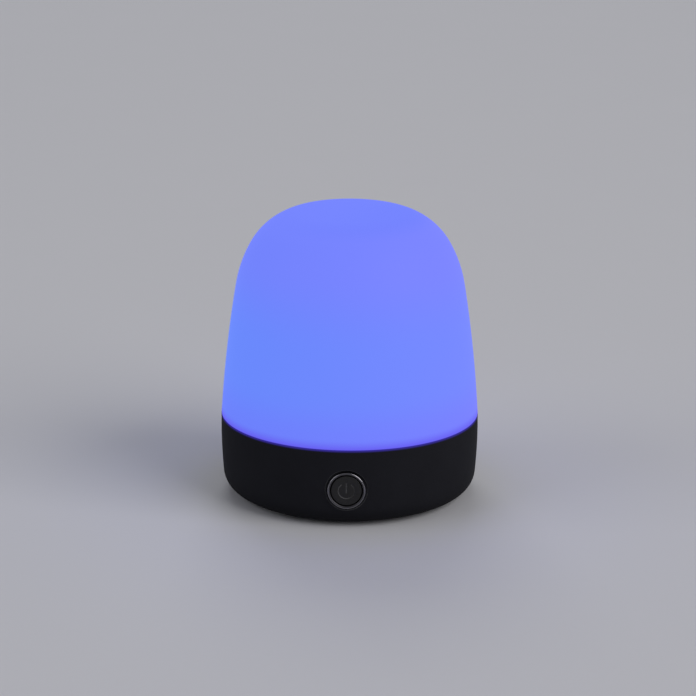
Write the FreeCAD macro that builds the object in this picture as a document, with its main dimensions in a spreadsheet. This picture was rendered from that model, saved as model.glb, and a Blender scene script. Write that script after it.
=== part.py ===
"""Portable smart mood lamp: an opal light dome on a dark round base, with a ringed power button.

Everything is in millimetres.  +Z is up, the origin is the centre of the lamp's footprint on the
table, the power button faces -Y and the charging socket faces +Y.  The driving dimensions live in
the spreadsheet "dims", and every sub-part is a document object whose sizes are bound to its cells.
"""

import FreeCAD
import Part
import math
import os
import re
import Sketcher
from FreeCAD import Placement, Rotation, Vector

doc = FreeCAD.newDocument("mood_lamp")
sheet = doc.addObject("Spreadsheet::Sheet", "dims")

DIMENSIONS = (
    # outer form of the base
    ("base_radius", 55.0), ("widest_height", 28.0), ("base_bulge_radius", 220.0),
    ("base_corner_radius", 8.5), ("foot_gap", 1.2), ("seam_height", 34.4), ("seam_bevel", 0.35),
    ("shell_inner_radius", 52.5), ("shell_floor_height", 4.4), ("shell_bend_height", 9.6),
    ("shell_bend_radius", 47.4), ("lip_radius", 41.0), ("lip_height", 2.8), ("rebate_radius", 43.5),
    ("ledge_radius", 49.6), ("ledge_height", 26.0), ("ledge_depth", 1.6), ("ledge_draft", 0.9),
    ("snap_groove_radius", 53.4), ("snap_groove_bottom", 29.2), ("snap_groove_top", 31.2),
    # light dome
    ("lamp_height", 124.6), ("crown_radius", 108.8), ("crown_edge_height", 122.183),
    ("shoulder_radius", 29.3), ("shoulder_edge_height", 107.962), ("upper_side_radius", 53.2),
    ("upper_side_height", 90.637), ("side_radius", 543.0), ("dome_wall", 2.0), ("dome_edge_round", 0.3),
    ("spigot_radius", 52.35), ("spigot_inner_radius", 50.3), ("spigot_depth", 5.0),
    ("spigot_step", 1.0), ("spigot_ramp", 2.2), ("lug_radius", 53.2), ("lug_height", 1.4),
    ("lug_centre_height", 30.2), ("lug_angle", 12.0), ("gasket_height", 1.4),
    # bottom cover, feet and their screws
    ("cover_radius", 43.2), ("cover_spigot_radius", 40.7), ("cover_top", 3.6), ("rim_wall", 1.5),
    ("rim_top", 6.0), ("foot_ring_radius", 34.5), ("foot_radius", 5.5), ("foot_recess", 0.5),
    ("foot_clearance", 0.1), ("foot_bevel", 0.4), ("post_ring_radius", 35.0), ("post_radius", 3.5),
    ("post_gap", 0.2), ("post_bore_depth", 11.0), ("cover_screw_radius", 1.45),
    ("cover_screw_length", 12.0), ("cover_head_radius", 2.75), ("cover_head_height", 1.3),
    ("counterbore_radius", 3.0), ("counterbore_depth", 1.4), ("screw_clearance", 0.05),
    ("screw_hole_radius", 1.7),
    # light tray, heat spreader and LED board
    ("tray_radius", 52.2), ("tray_thickness", 2.0), ("skirt_foot_radius", 42.0), ("skirt_radius", 50.0),
    ("skirt_top", 33.4), ("skirt_wall", 1.2), ("skirt_run", 2.4), ("spreader_radius", 40.0),
    ("spreader_thickness", 1.2), ("led_board_radius", 38.0), ("led_board_thickness", 1.6),
    ("cable_hole_radius", 4.0), ("cable_hole_offset", 10.0), ("led_screw_ring_radius", 28.0),
    ("led_post_radius", 3.0), ("led_post_depth", 3.5), ("small_screw_radius", 1.1),
    ("small_screw_length", 6.0), ("small_head_radius", 2.1), ("small_head_height", 1.1),
    ("led_size", 5.0), ("led_height", 1.5), ("led_window_radius", 2.0), ("led_window_depth", 0.5),
    ("led_outer_ring_radius", 33.0), ("led_inner_ring_radius", 19.0),
    # power button
    ("button_height", 17.3), ("button_recess_radius", 8.7), ("button_recess_floor", 53.8),
    ("button_hole_radius", 7.3), ("recess_edge_round", 0.25), ("bezel_radius", 7.85), ("bezel_bore_radius", 6.7),
    ("bezel_shoulder", 54.83), ("bezel_sleeve_radius", 7.2), ("bezel_sleeve_end", 48.6),
    ("retainer_radius", 8.1), ("button_flat", 52.0), ("retainer_thickness", 0.9),
    ("retainer_clearance", 0.04), ("cap_radius", 6.3), ("cap_face", 55.0), ("cap_bevel", 0.35),
    ("cap_flange_radius", 7.6), ("cap_flange_front", 48.3), ("cap_flange_thickness", 1.2),
    ("cap_cavity_radius", 5.0), ("cap_skin", 2.0), ("stem_radius", 2.2), ("stem_end", 44.7),
    ("symbol_radius", 3.3), ("symbol_width", 0.55), ("symbol_depth", 0.3), ("symbol_gap", 34.0),
    ("symbol_bar_top", 3.4), ("symbol_bar_bottom", -1.1),
    ("button_board_face", 40.0), ("button_board_width", 28.0), ("button_board_height", 15.0),
    ("board_thickness", 1.6), ("switch_size", 6.2), ("switch_depth", 3.6), ("plunger_radius", 1.7),
    ("plunger_clearance", 0.08), ("plunger_end", 44.6), ("plunger_length", 1.9),
    ("switch_bore_depth", 2.0), ("button_post_offset", 11.0), ("button_post_radius", 2.75),
    ("button_post_root", 52.2), ("button_flat_half", 8.4), ("button_post_bore", 6.5),
    # main board
    ("board_top", 14.0), ("board_half_width", 20.0), ("board_front", 9.0), ("board_back", 44.0),
    ("tongue_half_width", 7.0), ("tongue_back", 50.4), ("front_standoff_x", 17.0),
    ("front_standoff_y", 12.0), ("rear_standoff_x", 14.0), ("rear_standoff_y", 34.5),
    ("standoff_radius", 2.5), ("standoff_bore", 6.5), ("connector_y", 12.0), ("connector_depth", 5.0),
    ("connector_height", 5.0), ("connector_wall", 0.8), ("plug_gap", 0.1), ("plug_rise", 1.2),
    ("led_connector_width", 10.0), ("small_connector_width", 6.0), ("small_connector_x", 10.0),
    ("module_left", -19.5), ("module_width", 13.0), ("module_front", 15.0), ("module_length", 16.5),
    ("module_thickness", 0.8), ("shield_inset", 1.0), ("shield_length", 11.0), ("shield_height", 2.0),
    # charging socket
    ("socket_width", 8.94), ("socket_height", 3.26), ("socket_length", 7.35), ("socket_mouth", 52.2),
    ("socket_wall", 0.3), ("socket_back_wall", 1.0), ("tongue_width", 6.7), ("tongue_thickness", 0.7),
    ("tongue_recess", 0.7), ("port_recess_width", 13.0), ("port_recess_height", 7.6),
    ("port_recess_floor", 53.3), ("port_slot_width", 9.6), ("port_slot_height", 3.9),
    ("pipe_x", 11.5), ("pipe_radius", 1.1), ("pipe_clearance", 0.05), ("pipe_front", 53.75),
    ("pipe_back", 43.0), ("pipe_collar_radius", 1.6), ("pipe_collar_front", 50.6),
    # battery
    ("cell_radius", 9.2), ("cell_length", 65.2), ("cell_y", -9.0), ("cell_z", 13.4),
    ("cell_bevel", 0.8), ("nub_radius", 3.3), ("nub_length", 1.0), ("tab_thickness", 0.25),
    ("tab_height", 12.0), ("tab_width", 7.0), ("cradle_x", 20.0), ("cradle_thickness", 2.0),
    ("cradle_half_width", 11.5), ("cradle_clearance", 0.08), ("stop_x", 34.6), ("stop_thickness", 1.5),
    ("stop_height", 12.0), ("stop_half_width", 7.0), ("strap_half_width", 5.0), ("strap_wall", 1.1),
    ("strap_foot", 8.0), ("strap_foot_thickness", 1.5), ("strap_foot_reach", 6.0),
    ("strap_boss_radius", 2.75), ("strap_boss_offset", 13.6), ("strap_bore_depth", 4.0),
    # leads
    ("lead_radius", 0.6), ("lead_pitch", 1.6),
)

GEOMETRY_CENTRE = 3
ORIGIN = (-1, 1)
ACROSS_AXIS = -1
UP_AXIS = -2
SPIN_FRONT = Rotation(Vector(1, 0, 0), 90)
SPIN_BACK = Rotation(Vector(1, 0, 0), -90)
QUARTERS = (45, 135, 225, 315)
THIRDS = (30, 150, 270)


def fill_sheet():
    """Write each driving dimension as a plain number with an alias."""
    for row, (name, number) in enumerate(DIMENSIONS, start=1):
        sheet.set(f"A{row}", name)
        sheet.set(f"B{row}", repr(number))
        sheet.setAlias(f"B{row}", name)
    doc.recompute()


def bound(text):
    """Spell an expression for FreeCAD: a bare alias or a sum of aliases gets the sheet's name."""
    return re.sub(r"[a-z_]+", lambda word: f"dims.{word[0]}" if word[0] in ALIASES else word[0], text)


def number(text):
    """The present value of an expression, in millimetres or as a plain number."""
    return float(sheet.evalExpression(bound(text)))


ALIASES = {name for name, _ in DIMENSIONS}


def bind(thing, field, text):
    """Bind one property of an object to the sheet."""
    thing.setExpression(field, bound(text))
    return thing


def place(thing, x="0", y="0", z="0", rotation=Rotation()):
    """Give an object its place, with the offsets bound to the sheet."""
    thing.Placement = Placement(Vector(number(x), number(y), number(z)), rotation)
    for axis, text in zip("xyz", (x, y, z)):
        if text != "0":
            bind(thing, f"Placement.Base.{axis}", text)
    return thing


def place_on_axis(thing, height, rotation):
    """Turn a sub-part drawn along its own Z so that it points out of the base's front or back."""
    return place(thing, z=height, rotation=rotation)


# ---- sketches -------------------------------------------------------------------------------


def new_body(label):
    body = doc.addObject("PartDesign::Body", label)
    body.Label = label
    return body


def new_sketch(body, name, role="XY_Plane", offset="0"):
    """A sketch on one of the body's own origin planes, moved along its normal by an expression."""
    sketch = body.newObject("Sketcher::SketchObject", name)
    plane = next(f for f in body.Origin.OriginFeatures if f.Role == role)
    sketch.AttachmentSupport = (plane, "")
    sketch.MapMode = "FlatFace"
    if offset != "0":
        sketch.AttachmentOffset = Placement(Vector(0, 0, number(offset)), Rotation())
        bind(sketch, "AttachmentOffset.Base.z", offset)
    return sketch


def limit(sketch, kind, where, text):
    """Add one driving dimension to a sketch and bind it to the sheet."""
    index = sketch.addConstraint(Sketcher.Constraint(kind, *where, number(text)))
    name = f"size_{index}"
    sketch.renameConstraint(index, name)
    sketch.setExpression(f"Constraints.{name}", bound(text))


def pin(sketch, geometry, point, x=None, y=None):
    """Fix a point of a sketch at an expression across and up; None leaves that way free."""
    for kind, text, axis in (("DistanceX", x, UP_AXIS), ("DistanceY", y, ACROSS_AXIS)):
        if text is None:
            continue
        if abs(number(text)) < 1e-9:
            sketch.addConstraint(Sketcher.Constraint("PointOnObject", geometry, point, axis))
        else:
            limit(sketch, kind, (*ORIGIN, geometry, point), text)


def polygon(sketch, corners):
    """A closed outline of straight lines, with both coordinates of each corner bound."""
    points = [Vector(number(x), number(y), 0) for x, y in corners]
    first = sketch.GeometryCount
    count = len(points)
    for i in range(count):
        sketch.addGeometry(Part.LineSegment(points[i], points[(i + 1) % count]), False)
    for i in range(count):
        joint = Sketcher.Constraint("Coincident", first + i, 2, first + (i + 1) % count, 1)
        sketch.addConstraint(joint)
    for i, (x, y) in enumerate(corners):
        pin(sketch, first + i, 1, x, y)


def circle(sketch, radius, x="0", y="0"):
    """A circle with its radius and centre bound."""
    shape = Part.Circle(Vector(number(x), number(y), 0), Vector(0, 0, 1), number(radius))
    geometry = sketch.addGeometry(shape, False)
    limit(sketch, "Radius", (geometry,), radius)
    pin(sketch, geometry, GEOMETRY_CENTRE, x, y)


def slot(sketch, width, height, x="0", y="0"):
    """A horizontal slot with round ends: overall width and height bound, centred at x, y."""
    reach = f"( {width} - ( {height} ) ) / 2"
    radius = f"( {height} ) / 2"
    cx, cy, half, r = number(x), number(y), number(reach), number(radius)
    up = Vector(0, 0, 1)
    right = Part.ArcOfCircle(Part.Circle(Vector(cx + half, cy, 0), up, r), -math.pi / 2, math.pi / 2)
    left = Part.ArcOfCircle(Part.Circle(Vector(cx - half, cy, 0), up, r), math.pi / 2, math.pi * 1.5)
    a = sketch.addGeometry(right, False)
    b = sketch.addGeometry(left, False)
    top = sketch.addGeometry(Part.LineSegment(Vector(cx + half, cy + r, 0), Vector(cx - half, cy + r, 0)))
    low = sketch.addGeometry(Part.LineSegment(Vector(cx - half, cy - r, 0), Vector(cx + half, cy - r, 0)))
    for first, second in (((a, 2), (top, 1)), ((top, 2), (b, 1)), ((b, 2), (low, 1)), ((low, 2), (a, 1))):
        sketch.addConstraint(Sketcher.Constraint("Tangent", *first, *second))
    limit(sketch, "Radius", (a,), radius)
    pin(sketch, a, GEOMETRY_CENTRE, f"{x} + {reach}", y)
    pin(sketch, b, GEOMETRY_CENTRE, f"{x} - {reach}", y)


# ---- features -------------------------------------------------------------------------------


def revolve(body, sketch, angle=360.0):
    """Turn a sketch about its own upright axis."""
    feature = body.newObject("PartDesign::Revolution", f"{sketch.Name}_turned")
    feature.Profile = sketch
    feature.ReferenceAxis = (sketch, ["V_Axis"])
    feature.Angle = angle
    doc.recompute()
    return feature


def extrude(body, kind, sketch, length, reverse=False):
    """A Pad or a Pocket of a sketch.  The volume has to change the right way, or it stops."""
    before = body.Shape.Volume if body.Tip and not body.Shape.isNull() else 0.0
    feature = body.newObject(f"PartDesign::{kind}", f"{sketch.Name}_{kind.lower()}")
    feature.Profile = sketch
    feature.Length = number(length)
    bind(feature, "Length", length)
    feature.Reversed = reverse
    doc.recompute()
    change = body.Shape.Volume - before
    if (change <= 0) == (kind == "Pad"):
        raise RuntimeError(f"{feature.Name} changed the volume by {change:.3f}")
    return feature


def turned_body(label, corners):
    """A body made by turning one straight-sided outline about its Z axis."""
    body = new_body(label)
    sketch = new_sketch(body, f"{label}_outline", "XZ_Plane")
    polygon(sketch, corners)
    revolve(body, sketch)
    return body


def rod(name, radius, height, x="0", y="0", z="0", rotation=Rotation()):
    """A Part cylinder with its radius, height and place bound."""
    shape = doc.addObject("Part::Cylinder", name)
    bind(shape, "Radius", radius)
    bind(shape, "Height", height)
    return place(shape, x, y, z, rotation)


def block(name, width, depth, height, x="0", y="0", z="0", rotation=Rotation()):
    """A Part box centred across and along, standing on its own base plane."""
    shape = doc.addObject("Part::Box", name)
    bind(shape, "Length", width)
    bind(shape, "Width", depth)
    bind(shape, "Height", height)
    if rotation.isIdentity():
        return place(shape, f"{x} - ( {width} ) / 2", f"{y} - ( {depth} ) / 2", z)
    return place(shape, x, y, z, rotation)


def join(name, *shapes):
    feature = doc.addObject("Part::MultiFuse", name)
    feature.Shapes = list(shapes)
    return feature


def cut(name, base, *tools):
    """Take one or several tools away from a base."""
    feature = doc.addObject("Part::Cut", name)
    feature.Base = base
    feature.Tool = tools[0] if len(tools) == 1 else join(f"{name}_tools", *tools)
    return feature


def group(label, pieces):
    """Several separate solids of one kind that share a node."""
    feature = doc.addObject("Part::Compound", label)
    feature.Links = list(pieces)
    feature.Label = label
    return feature


def bevelled(name, shape, size, edges):
    feature = doc.addObject("Part::Chamfer", name)
    feature.Base = shape
    doc.recompute()
    feature.Edges = [(edge, number(size), number(size)) for edge in edges(shape.Shape)]
    return feature


def round_edges(at_height):
    """Pick the full-circle edges of a rod that lie at one height of its own frame."""
    def chosen(shape):
        return [
            i for i, edge in enumerate(shape.Edges, start=1)
            if isinstance(edge.Curve, Part.Circle) and abs(edge.CenterOfMass.z - at_height) < 1e-4
        ]
    return chosen


def on_ring(radius, angle):
    """Expressions for a place on a circle, at an angle in degrees."""
    return f"{radius} * cos( {angle}deg )", f"{radius} * sin( {angle}deg )"


def screw(name, head_radius, head_height, shank_radius, length, x, y, z, rotation=Rotation()):
    """A pan-head screw with a cross recess.  z is the face under its head; the shank runs down."""
    shank = rod(f"{name}_shank", shank_radius, length)
    head = rod(f"{name}_head", head_radius, head_height, z=length)
    crown = bevelled(f"{name}_crown", head, f"{head_height} / 3", round_edges(number(f"{length} + {head_height}")))
    body = join(f"{name}_solid", shank, crown)
    blade = f"{head_radius} * 1.1"
    thin = f"{head_radius} * 0.26"
    sunk = f"{head_height} * 0.55"
    seat = f"{length} + {head_height} - {sunk}"
    bars = [
        block(f"{name}_bar_a", blade, thin, sunk, z=seat),
        block(f"{name}_bar_b", thin, blade, sunk, z=seat),
    ]
    made = cut(name, body, *bars)
    down = rotation.multVec(Vector(0, 0, -number(length)))
    made.Placement = Placement(Vector(number(x), number(y), number(z)) + down, rotation)
    return made


FLIPPED = Rotation(Vector(1, 0, 0), 180)


# ---- light dome -----------------------------------------------------------------------------


def next_centre(centre, radius, new_radius, angle):
    """The centre of the next tangent arc, where the outline's normal leans by angle from upright."""
    step = radius - new_radius
    return Vector(centre.x + step * math.sin(angle), centre.y + step * math.cos(angle), 0)


def dome_arcs():
    """Centre, radius and normal angles of the outline's four tangent arcs, from the top down."""
    radii = [number(f"{n}_radius") for n in ("crown", "shoulder", "upper_side", "side")]
    names = ("crown_edge_height", "shoulder_edge_height", "upper_side_height", "seam_height")
    ends = [number(name) for name in names]
    centre = Vector(0, number("lamp_height") - radii[0], 0)
    start = 0.0
    arcs = []
    for i, radius in enumerate(radii):
        end = math.acos((ends[i] - centre.y) / radius)
        arcs.append((centre, radius, start, end))
        if i + 1 < len(radii):
            centre = next_centre(centre, radius, radii[i + 1], end)
        start = end
    return arcs


def add_arc(sketch, centre, radius, start, end):
    """An arc from a normal angle to a later one; its first point is the lower end."""
    ring = Part.Circle(centre, Vector(0, 0, 1), radius)
    arc = Part.ArcOfCircle(ring, math.pi / 2 - end, math.pi / 2 - start)
    return sketch.addGeometry(arc, False)


def add_line(sketch, a, b):
    return sketch.addGeometry(Part.LineSegment(a, b), False)


def dome_outline(sketch):
    """The dome's section: four tangent arcs outside, the same four inset by the wall inside."""
    arcs = dome_arcs()
    wall = number("dome_wall")
    seam = number("seam_height")
    outer = [add_arc(sketch, c, r, a, b) for c, r, a, b in arcs]
    inner_end = seam + number("spigot_step") + number("spigot_ramp")
    inner = []
    for i, (c, r, a, b) in enumerate(arcs):
        last = math.acos((inner_end - c.y) / (r - wall)) if i == 3 else b
        inner.append(add_arc(sketch, c, r - wall, a, last))
    for arcs_of_side in (outer, inner):
        for upper, lower in zip(arcs_of_side, arcs_of_side[1:]):
            sketch.addConstraint(Sketcher.Constraint("Tangent", upper, 1, lower, 2))
    for outside, inside in zip(outer, inner):
        sketch.addConstraint(
            Sketcher.Constraint("Coincident", inside, GEOMETRY_CENTRE, outside, GEOMETRY_CENTRE)
        )
    for geometry, name in zip(outer, ("crown", "shoulder", "upper_side", "side")):
        limit(sketch, "Radius", (geometry,), f"{name}_radius")
    limit(sketch, "Radius", (inner[0],), "crown_radius - dome_wall")
    pin(sketch, outer[0], 2, "0", "lamp_height")
    pin(sketch, outer[0], GEOMETRY_CENTRE, x="0")
    pin(sketch, inner[0], 2, x="0")
    pin(sketch, outer[0], 1, y="crown_edge_height")
    pin(sketch, outer[1], 1, y="shoulder_edge_height")
    pin(sketch, outer[2], 1, y="upper_side_height")
    pin(sketch, outer[3], 1, y="seam_height")
    pin(sketch, inner[3], 1, y="seam_height + spigot_step + spigot_ramp")
    spigot_outline(sketch, outer, inner)


def spigot_outline(sketch, outer, inner):
    """The neck that plugs into the base, drawn from the outer wall's foot round to the inner one."""
    def end_of(geometry, which):
        return sketch.getPoint(geometry, which)

    top = (end_of(inner[0], 2), end_of(outer[0], 2))
    neck = [
        ("spigot_radius", "seam_height"),
        ("spigot_radius", "seam_height - spigot_depth"),
        ("spigot_inner_radius", "seam_height - spigot_depth"),
        ("spigot_inner_radius", "seam_height + spigot_step"),
    ]
    points = [end_of(outer[3], 1)]
    points += [Vector(number(x), number(y), 0) for x, y in neck]
    points.append(end_of(inner[3], 1))
    lines = [add_line(sketch, a, b) for a, b in zip(points, points[1:])]
    apex = add_line(sketch, *top)
    sketch.addConstraint(Sketcher.Constraint("Coincident", lines[0], 1, outer[3], 1))
    for a, b in zip(lines, lines[1:]):
        sketch.addConstraint(Sketcher.Constraint("Coincident", a, 2, b, 1))
    sketch.addConstraint(Sketcher.Constraint("Coincident", lines[-1], 2, inner[3], 1))
    sketch.addConstraint(Sketcher.Constraint("Coincident", apex, 1, inner[0], 2))
    sketch.addConstraint(Sketcher.Constraint("Coincident", apex, 2, outer[0], 2))
    for line, (x, y) in zip(lines, neck):
        pin(sketch, line, 2, x, y)


def diffuser_dome():
    """The opal dome, with its neck and four snap lugs that catch in the base's groove."""
    body = new_body("diffuser_dome")
    sketch = new_sketch(body, "dome_section", "XZ_Plane")
    dome_outline(sketch)
    revolve(body, sketch)
    lug = new_sketch(body, "snap_lug", "XZ_Plane")
    low = "lug_centre_height - lug_height / 2"
    high = "lug_centre_height + lug_height / 2"
    polygon(lug, [
        ("spigot_radius - rim_wall / 2", low), ("spigot_radius", low),
        ("lug_radius", "lug_centre_height"), ("lug_radius", high), ("spigot_radius - rim_wall / 2", high),
    ])
    first = revolve(body, lug, number("lug_angle"))
    first.Midplane = True
    pattern = body.newObject("PartDesign::PolarPattern", "snap_lugs")
    pattern.Originals = [first]
    pattern.Axis = (lug, ["V_Axis"])
    pattern.Angle = 360
    pattern.Occurrences = 4
    body.Tip = pattern
    doc.recompute()
    rim = body.newObject("PartDesign::Fillet", "dome_edge")
    rim.Base = (pattern, [outer_edge(pattern.Shape, number("seam_height"))])
    rim.Radius = number("dome_edge_round")
    bind(rim, "Radius", "dome_edge_round")
    return body


def outer_edge(shape, height):
    """The name of the widest round edge at one height."""
    best = None
    for i, edge in enumerate(shape.Edges, start=1):
        level = abs(edge.BoundBox.ZMax - height) < 1e-3 and abs(edge.BoundBox.ZMin - height) < 1e-3
        if level and isinstance(edge.Curve, Part.Circle):
            if best is None or edge.Curve.Radius > best[0]:
                best = (edge.Curve.Radius, f"Edge{i}")
    return best[1]


def dome_gasket():
    """A soft ring that the dome's neck presses on the tray, so that no light or rattle gets out."""
    body = new_body("dome_gasket")
    low = "ledge_height + tray_thickness"
    high = "ledge_height + tray_thickness + gasket_height"
    sketch = new_sketch(body, "gasket_outline", "XZ_Plane")
    inner, outer = "spigot_inner_radius + 0.1", "tray_radius - 0.1"
    polygon(sketch, [(inner, low), (outer, low), (outer, high), (inner, high)])
    revolve(body, sketch)
    return body


# ---- base shell -----------------------------------------------------------------------------


def shell_outline(sketch):
    """The shell's section: a bulged wall, a round lower corner, a cover rebate, ledge and groove."""
    bulge, corner = number("base_bulge_radius"), number("base_corner_radius")
    centre = Vector(number("base_radius") - bulge, number("widest_height"), 0)
    low = number("foot_gap") + corner
    foot = Vector(centre.x + math.sqrt((bulge - corner) ** 2 - (low - centre.y) ** 2), low, 0)
    lean = math.asin((low - centre.y) / (bulge - corner))
    top = math.asin((number("seam_height") - number("seam_bevel") - centre.y) / bulge)
    up = Vector(0, 0, 1)
    wall = sketch.addGeometry(Part.ArcOfCircle(Part.Circle(centre, up, bulge), lean, top), False)
    bend = sketch.addGeometry(
        Part.ArcOfCircle(Part.Circle(foot, up, corner), -math.pi / 2, lean), False
    )
    rest = [
        ("rebate_radius", "foot_gap"), ("rebate_radius", "lip_height"), ("lip_radius", "lip_height"),
        ("lip_radius", "shell_floor_height"), ("shell_bend_radius", "shell_floor_height"),
        ("shell_inner_radius", "shell_bend_height"),
        ("shell_inner_radius", "ledge_height - ledge_depth - ledge_draft"),
        ("ledge_radius", "ledge_height - ledge_depth"), ("ledge_radius", "ledge_height"),
        ("shell_inner_radius", "ledge_height"), ("shell_inner_radius", "snap_groove_bottom"),
        ("snap_groove_radius", "snap_groove_bottom"), ("snap_groove_radius", "snap_groove_top"),
        ("shell_inner_radius", "snap_groove_top"), ("shell_inner_radius", "seam_height"),
        ("base_radius - 2 * seam_bevel", "seam_height"),
    ]
    points = [sketch.getPoint(bend, 1)]
    points += [Vector(number(x), number(y), 0) for x, y in rest]
    points.append(sketch.getPoint(wall, 2))
    lines = [add_line(sketch, a, b) for a, b in zip(points, points[1:])]
    sketch.addConstraint(Sketcher.Constraint("Tangent", bend, 2, wall, 1))
    sketch.addConstraint(Sketcher.Constraint("Tangent", bend, 1, lines[0], 1))
    for a, b in zip(lines, lines[1:]):
        sketch.addConstraint(Sketcher.Constraint("Coincident", a, 2, b, 1))
    sketch.addConstraint(Sketcher.Constraint("Coincident", lines[-1], 2, wall, 2))
    sketch.addConstraint(Sketcher.Constraint("Horizontal", lines[0]))
    for line, (x, y) in zip(lines, rest):
        pin(sketch, line, 2, x, y)
    limit(sketch, "Radius", (wall,), "base_bulge_radius")
    limit(sketch, "Radius", (bend,), "base_corner_radius")
    pin(sketch, wall, GEOMETRY_CENTRE, "base_radius - base_bulge_radius", "widest_height")
    pin(sketch, wall, 2, y="seam_height - seam_bevel")


def base_shell():
    """The dark outer wall of the base, with the button's recess, the port's recess and two posts."""
    body = new_body("base_shell")
    sketch = new_sketch(body, "shell_section", "XZ_Plane")
    shell_outline(sketch)
    revolve(body, sketch)
    outside = "base_radius + 5"
    flat = new_sketch(body, "button_flat", "XZ_Plane", "button_flat")
    low, high = "button_height - button_flat_half", "ledge_height"
    left, right = "0 - button_flat_half", "button_flat_half"
    polygon(flat, [(left, low), (right, low), (right, high), (left, high)])
    extrude(body, "Pocket", flat, "button_flat - cap_flange_front")
    posts = new_sketch(body, "button_posts", "XZ_Plane", "button_board_face")
    for side in ("button_post_offset", "0 - button_post_offset"):
        circle(posts, "button_post_radius", side, "button_height")
    extrude(body, "Pad", posts, "button_post_root - button_board_face")
    recess = new_sketch(body, "button_recess", "XZ_Plane", outside)
    circle(recess, "button_recess_radius", y="button_height")
    extrude(body, "Pocket", recess, f"{outside} - button_recess_floor")
    hole = new_sketch(body, "button_hole", "XZ_Plane", outside)
    circle(hole, "button_hole_radius", y="button_height")
    extrude(body, "Pocket", hole, f"{outside} - bezel_sleeve_end")
    bores = new_sketch(body, "button_post_bores", "XZ_Plane", "button_board_face")
    for side in ("button_post_offset", "0 - button_post_offset"):
        circle(bores, "small_screw_radius + screw_clearance", side, "button_height")
    extrude(body, "Pocket", bores, "button_post_bore", reverse=True)
    behind = f"0 - ( {outside} )"
    port = new_sketch(body, "port_recess", "XZ_Plane", behind)
    slot(port, "port_recess_width", "port_recess_height", y="board_top + socket_height / 2")
    extrude(body, "Pocket", port, f"{outside} - port_recess_floor", reverse=True)
    mouth = new_sketch(body, "port_slot", "XZ_Plane", behind)
    slot(mouth, "port_slot_width", "port_slot_height", y="board_top + socket_height / 2")
    extrude(body, "Pocket", mouth, f"{outside} - bezel_sleeve_end", reverse=True)
    light = new_sketch(body, "pipe_hole", "XZ_Plane", behind)
    circle(light, "pipe_radius + pipe_clearance", "pipe_x", "board_top + socket_height / 2")
    light_pocket = extrude(body, "Pocket", light, f"{outside} - bezel_sleeve_end", reverse=True)
    edges = body.newObject("PartDesign::Fillet", "recess_edges")
    edges.Base = (light_pocket, recess_edges(light_pocket.Shape))
    edges.Radius = number("recess_edge_round")
    bind(edges, "Radius", "recess_edge_round")
    return body


def recess_edges(shape):
    """The names of the outer edges of the button's recess and of the port's recess."""
    reach = number("button_recess_radius") + 0.1
    low, high = number("button_height") - reach, number("button_height") + reach
    found = []
    for i, edge in enumerate(shape.Edges, start=1):
        box, middle = edge.BoundBox, edge.CenterOfMass
        near_axis = abs(middle.x) < reach and low < middle.z < high
        floor = "button_recess_floor" if middle.y < 0 else "port_recess_floor"
        on_skin = min(abs(box.YMin), abs(box.YMax)) > number(floor) + 0.1
        if near_axis and on_skin and box.DiagonalLength > 1:
            found.append(f"Edge{i}")
    return found


# ---- bottom cover ---------------------------------------------------------------------------


def bottom_cover():
    """The screwed cover under the base: rim, battery cradle, board standoffs and foot recesses."""
    body = turned_body("bottom_cover", [
        ("0", "foot_gap"), ("cover_radius", "foot_gap"), ("cover_radius", "lip_height"),
        ("cover_spigot_radius", "lip_height"), ("cover_spigot_radius", "rim_top"),
        ("cover_spigot_radius - rim_wall", "rim_top"), ("cover_spigot_radius - rim_wall", "cover_top"),
        ("0", "cover_top"),
    ])
    underboard = "board_top - board_thickness"
    standoffs = new_sketch(body, "board_standoffs", offset="cover_top")
    for x, y in board_screw_places():
        circle(standoffs, "standoff_radius", x, y)
    extrude(body, "Pad", standoffs, f"{underboard} - cover_top")
    bosses = new_sketch(body, "strap_bosses", offset="cover_top")
    for y in strap_screw_places():
        circle(bosses, "strap_boss_radius", y=y)
    extrude(body, "Pad", bosses, "strap_foot - cover_top")
    cradle(body)
    feet = new_sketch(body, "foot_recesses")
    for angle in (0, 90, 180, 270):
        circle(feet, "foot_radius + foot_clearance", *on_ring("foot_ring_radius", angle))
    extrude(body, "Pocket", feet, "foot_gap + foot_recess", reverse=True)
    wells = new_sketch(body, "screw_wells")
    holes = new_sketch(body, "screw_holes")
    for angle in QUARTERS:
        circle(wells, "counterbore_radius", *on_ring("post_ring_radius", angle))
        circle(holes, "screw_hole_radius", *on_ring("post_ring_radius", angle))
    extrude(body, "Pocket", wells, "foot_gap + counterbore_depth", reverse=True)
    extrude(body, "Pocket", holes, "cover_top + 1", reverse=True)
    bores = new_sketch(body, "standoff_bores", offset=underboard)
    for x, y in board_screw_places():
        circle(bores, "small_screw_radius + screw_clearance", x, y)
    extrude(body, "Pocket", bores, "standoff_bore")
    strap_bores = new_sketch(body, "strap_bores", offset="strap_foot")
    for y in strap_screw_places():
        circle(strap_bores, "small_screw_radius + screw_clearance", y=y)
    extrude(body, "Pocket", strap_bores, "strap_bore_depth + 0.6")
    return body


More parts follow.
